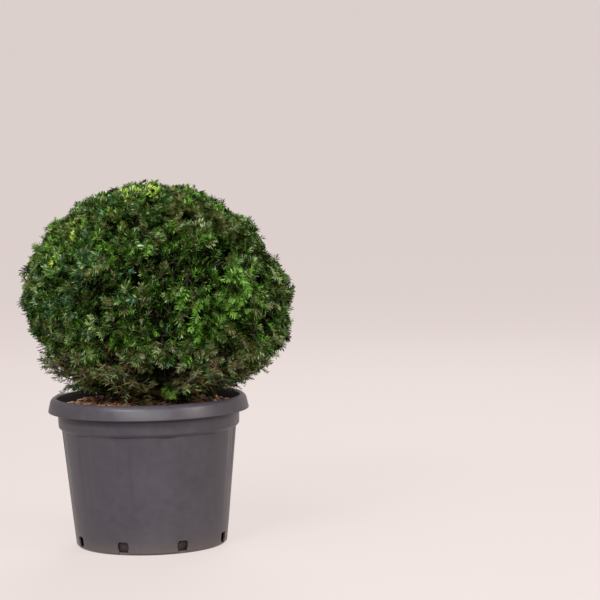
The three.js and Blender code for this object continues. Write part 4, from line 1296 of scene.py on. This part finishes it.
# Needles near a shoot's tip take the next lighter shade and those near its foot the next darker one; deep
# shoots get fewer lighter and more darker needles, as painted shade.
at_tip = chance(needle_number, 76) < (0.12 + 0.26 * needle_step**2) * (1 - depth)
at_foot = chance(needle_number, 77) < 0.20 + 0.45 * (1 - needle_step) ** 1.3 + 0.4 * depth
at_foot &= ~tuft_rows[:, None]
lighter_shade = shade_numbers(lighter_names)[outer_shade]
darker_shade = shade_numbers(darker_names)[outer_shade]
needle_shade = np.where(at_tip, lighter_shade, np.where(at_foot, darker_shade, outer_shade))
bare_front = 0.14 + 0.58 * nearness(outer_toward, 256, -45, 32)
shed = (chance(needle_number, 78) < bare_front[:, None]) & skirt_rows[:, None]

outer_combs = needle_combs(
    outer_paths, outer_plane, outer_number, NEEDLES_ON_SHOOT, NEEDLE_LENGTH, outer_loose
)
inner_combs = needle_combs(
    inner_path, inner_side, inner_number, INNER_NEEDLES_ON_SHOOT, INNER_NEEDLE_LENGTH,
    np.ones(len(inner_number)),
)
for shade_number, (shade, first, second, gloss, *_) in enumerate(NEEDLE_SHADES):
    finish = new_finish(
        "needles_" + shade, first, second, scale=48, contrast=3, roughness=0.30, gloss=gloss
    )
    of_shade = (needle_shade == shade_number) & ~shed
    full = of_shade & outer_full[:, None]
    slim = of_shade & ~outer_full[:, None]
    kinds = [
        (needle_blades(*(part[full] for part in outer_combs), NEEDLE_WIDTH), BLADE_FACES),
        (needle_slivers(*(part[slim] for part in outer_combs), SLIM_NEEDLE_WIDTH), SLIVER_FACES),
    ]
    # The needles inside the crown all take the near-black shade: painted shade.
    if shade == "shaded":
        inner_parts = (part.reshape(-1, *part.shape[2:]) for part in inner_combs)
        kinds.append((needle_slivers(*inner_parts, INNER_NEEDLE_WIDTH), SLIVER_FACES))
    batch = 0
    for points, faces in kinds:
        most = MOST_TRIANGLES // (len(faces) * (len(faces[0]) - 2))
        for start in range(0, len(points), most):
            batch += 1
            some = points[start:start + most]
            some_faces = copied_faces(faces, len(some), some.shape[1])
            needles = new_piece(
                "needles_%s_%d" % (shade, batch), some.reshape(-1, 3), [some_faces], finish, smooth=False
            )
            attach(needles, "root")
            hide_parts("crown", *("low_spray_" + row[3] for row in LOW_BOUGHS))

# The studio: a pale paper floor that sweeps up into a wall all round and glows, less so on
# the camera's side and on the left. Five soft lights stand round it: two in front, the
# left one higher and stronger, one at the right, one overhead and one behind.
SWEEP_SIDES = 96
SWEEP_INNER = [(0.6, 0), (2, 0), (4, 0)]
SWEEP_FLAT = 7.0
SWEEP_BEND = 3.0
SWEEP_WALL = 8.0
PAPER_GLOW = 0.855
LIGHTS = [
    ("left_light", (-2.0, -4.3, 3.6), 0.5, (2.2, 1.0), 336, (0.93, 0.96, 1.0)),
    ("low_light", (0.35, -4.9, 2.1), 0.45, (4.2, 0.8), 166, (0.96, 0.97, 1.0)),
    ("right_light", (3.92, -2.27, 2.6), 0.5, (1.6, 2.2), 185, (1.0, 0.95, 0.90)),
    ("sky_light", (-0.9, -1.9, 4.4), 0.5, (3.0, 2.0), 118, (0.93, 0.96, 1.0)),
    ("back_light", (0.9, 4.4, 3.4), 0.5, (3.0, 1.6), 175, (1.0, 0.98, 0.96)),
]
CAMERA_PLACE = (0.383, -6.0, 1.07)
CAMERA_PITCH = 0.078
CAMERA_ROLL = 0.021
FOCAL_PIXELS = 2420
PICTURE_PIXELS = 600
SENSOR_WIDTH = 36
sweep_turn = np.linspace(0, math.pi / 2, 17)[:, None]
sweep_arc = [SWEEP_FLAT, 0] + SWEEP_BEND * np.hstack([np.sin(sweep_turn), 1 - np.cos(sweep_turn)])
sweep_line = np.vstack([SWEEP_INNER, sweep_arc, [SWEEP_FLAT + SWEEP_BEND, SWEEP_WALL]])
sweep_angle = np.arange(SWEEP_SIDES) / SWEEP_SIDES * math.tau
sweep_rings = turned_points(sweep_line[:, :1], sweep_angle, sweep_line[:, 1:])
quads, poles = turned_faces(len(sweep_line), SWEEP_SIDES)
paper = new_finish("studio_paper", (66, 63, 62), (68, 65, 64), scale=0.6, contrast=1, roughness=0.9)
paper_tree = paper.node_tree
paper_place = paper_tree.nodes["place"].outputs["Vector"]
paper_axes = shader_node(paper_tree, "SeparateXYZ", {0: paper_place}).outputs


def paper_fade(axis, start, end):
    """A mask that climbs from 0 to 1 between two places on an axis of the paper."""
    limits = {"Value": paper_axes[axis], "From Min": start, "From Max": end}
    return shader_node(paper_tree, "MapRange", limits).outputs[0]


paper_rear = add_mix(paper_tree, paper_fade("X", -5.0, -2.2), linear(188, 178, 175), linear(227, 214, 210))
paper_light = add_mix(paper_tree, paper_fade("Y", -3.5, -1.0), linear(186, 176, 172), paper_rear)
paper_shader = paper_tree.nodes["Principled BSDF"]
paper_tree.links.new(paper_light, paper_shader.inputs["Emission Color"])
paper_shader.inputs["Emission Strength"].default_value = PAPER_GLOW
sweep_points = np.vstack([[0, 0, 0], sweep_rings.reshape(-1, 3)])
sweep_faces = [quads[:, ::-1], poles[:SWEEP_SIDES, ::-1]]
new_piece("studio_sweep", sweep_points, sweep_faces, paper)
for name, place, aim_height, size, power, colour in LIGHTS:
    lamp = bpy.data.lights.new(name, "AREA")
    lamp.shape = "RECTANGLE"
    lamp.size, lamp.size_y = size
    lamp.energy = power
    lamp.color = colour
    light = bpy.data.objects.new(name, lamp)
    light.location = place
    way = Vector((0, 0, aim_height)) - Vector(place)
    light.rotation_euler = way.to_track_quat("-Z", "Y").to_euler()
    bpy.context.scene.collection.objects.link(light)
world = bpy.data.worlds.new("studio_air")
world.use_nodes = True
world.node_tree.nodes["Background"].inputs["Color"].default_value = (0.95, 0.93, 0.93, 1)
world.node_tree.nodes["Background"].inputs["Strength"].default_value = 0.38
bpy.context.scene.world = world
bpy.context.scene.view_settings.view_transform = "Standard"
camera_data = bpy.data.cameras.new("view")
camera_data.sensor_width = SENSOR_WIDTH
camera_data.lens = FOCAL_PIXELS / PICTURE_PIXELS * SENSOR_WIDTH
camera = bpy.data.objects.new("camera", camera_data)
right = Vector((1, 0, 0))
above = Vector((0, math.sin(CAMERA_PITCH), math.cos(CAMERA_PITCH)))
behind = Vector((0, -math.cos(CAMERA_PITCH), math.sin(CAMERA_PITCH)))
camera_right = right * math.cos(CAMERA_ROLL) - above * math.sin(CAMERA_ROLL)
camera_above = right * math.sin(CAMERA_ROLL) + above * math.cos(CAMERA_ROLL)
camera_axes = Matrix((camera_right, camera_above, behind)).transposed().to_4x4()
camera.matrix_world = Matrix.Translation(CAMERA_PLACE) @ camera_axes
bpy.context.scene.collection.objects.link(camera)
bpy.context.scene.camera = camera
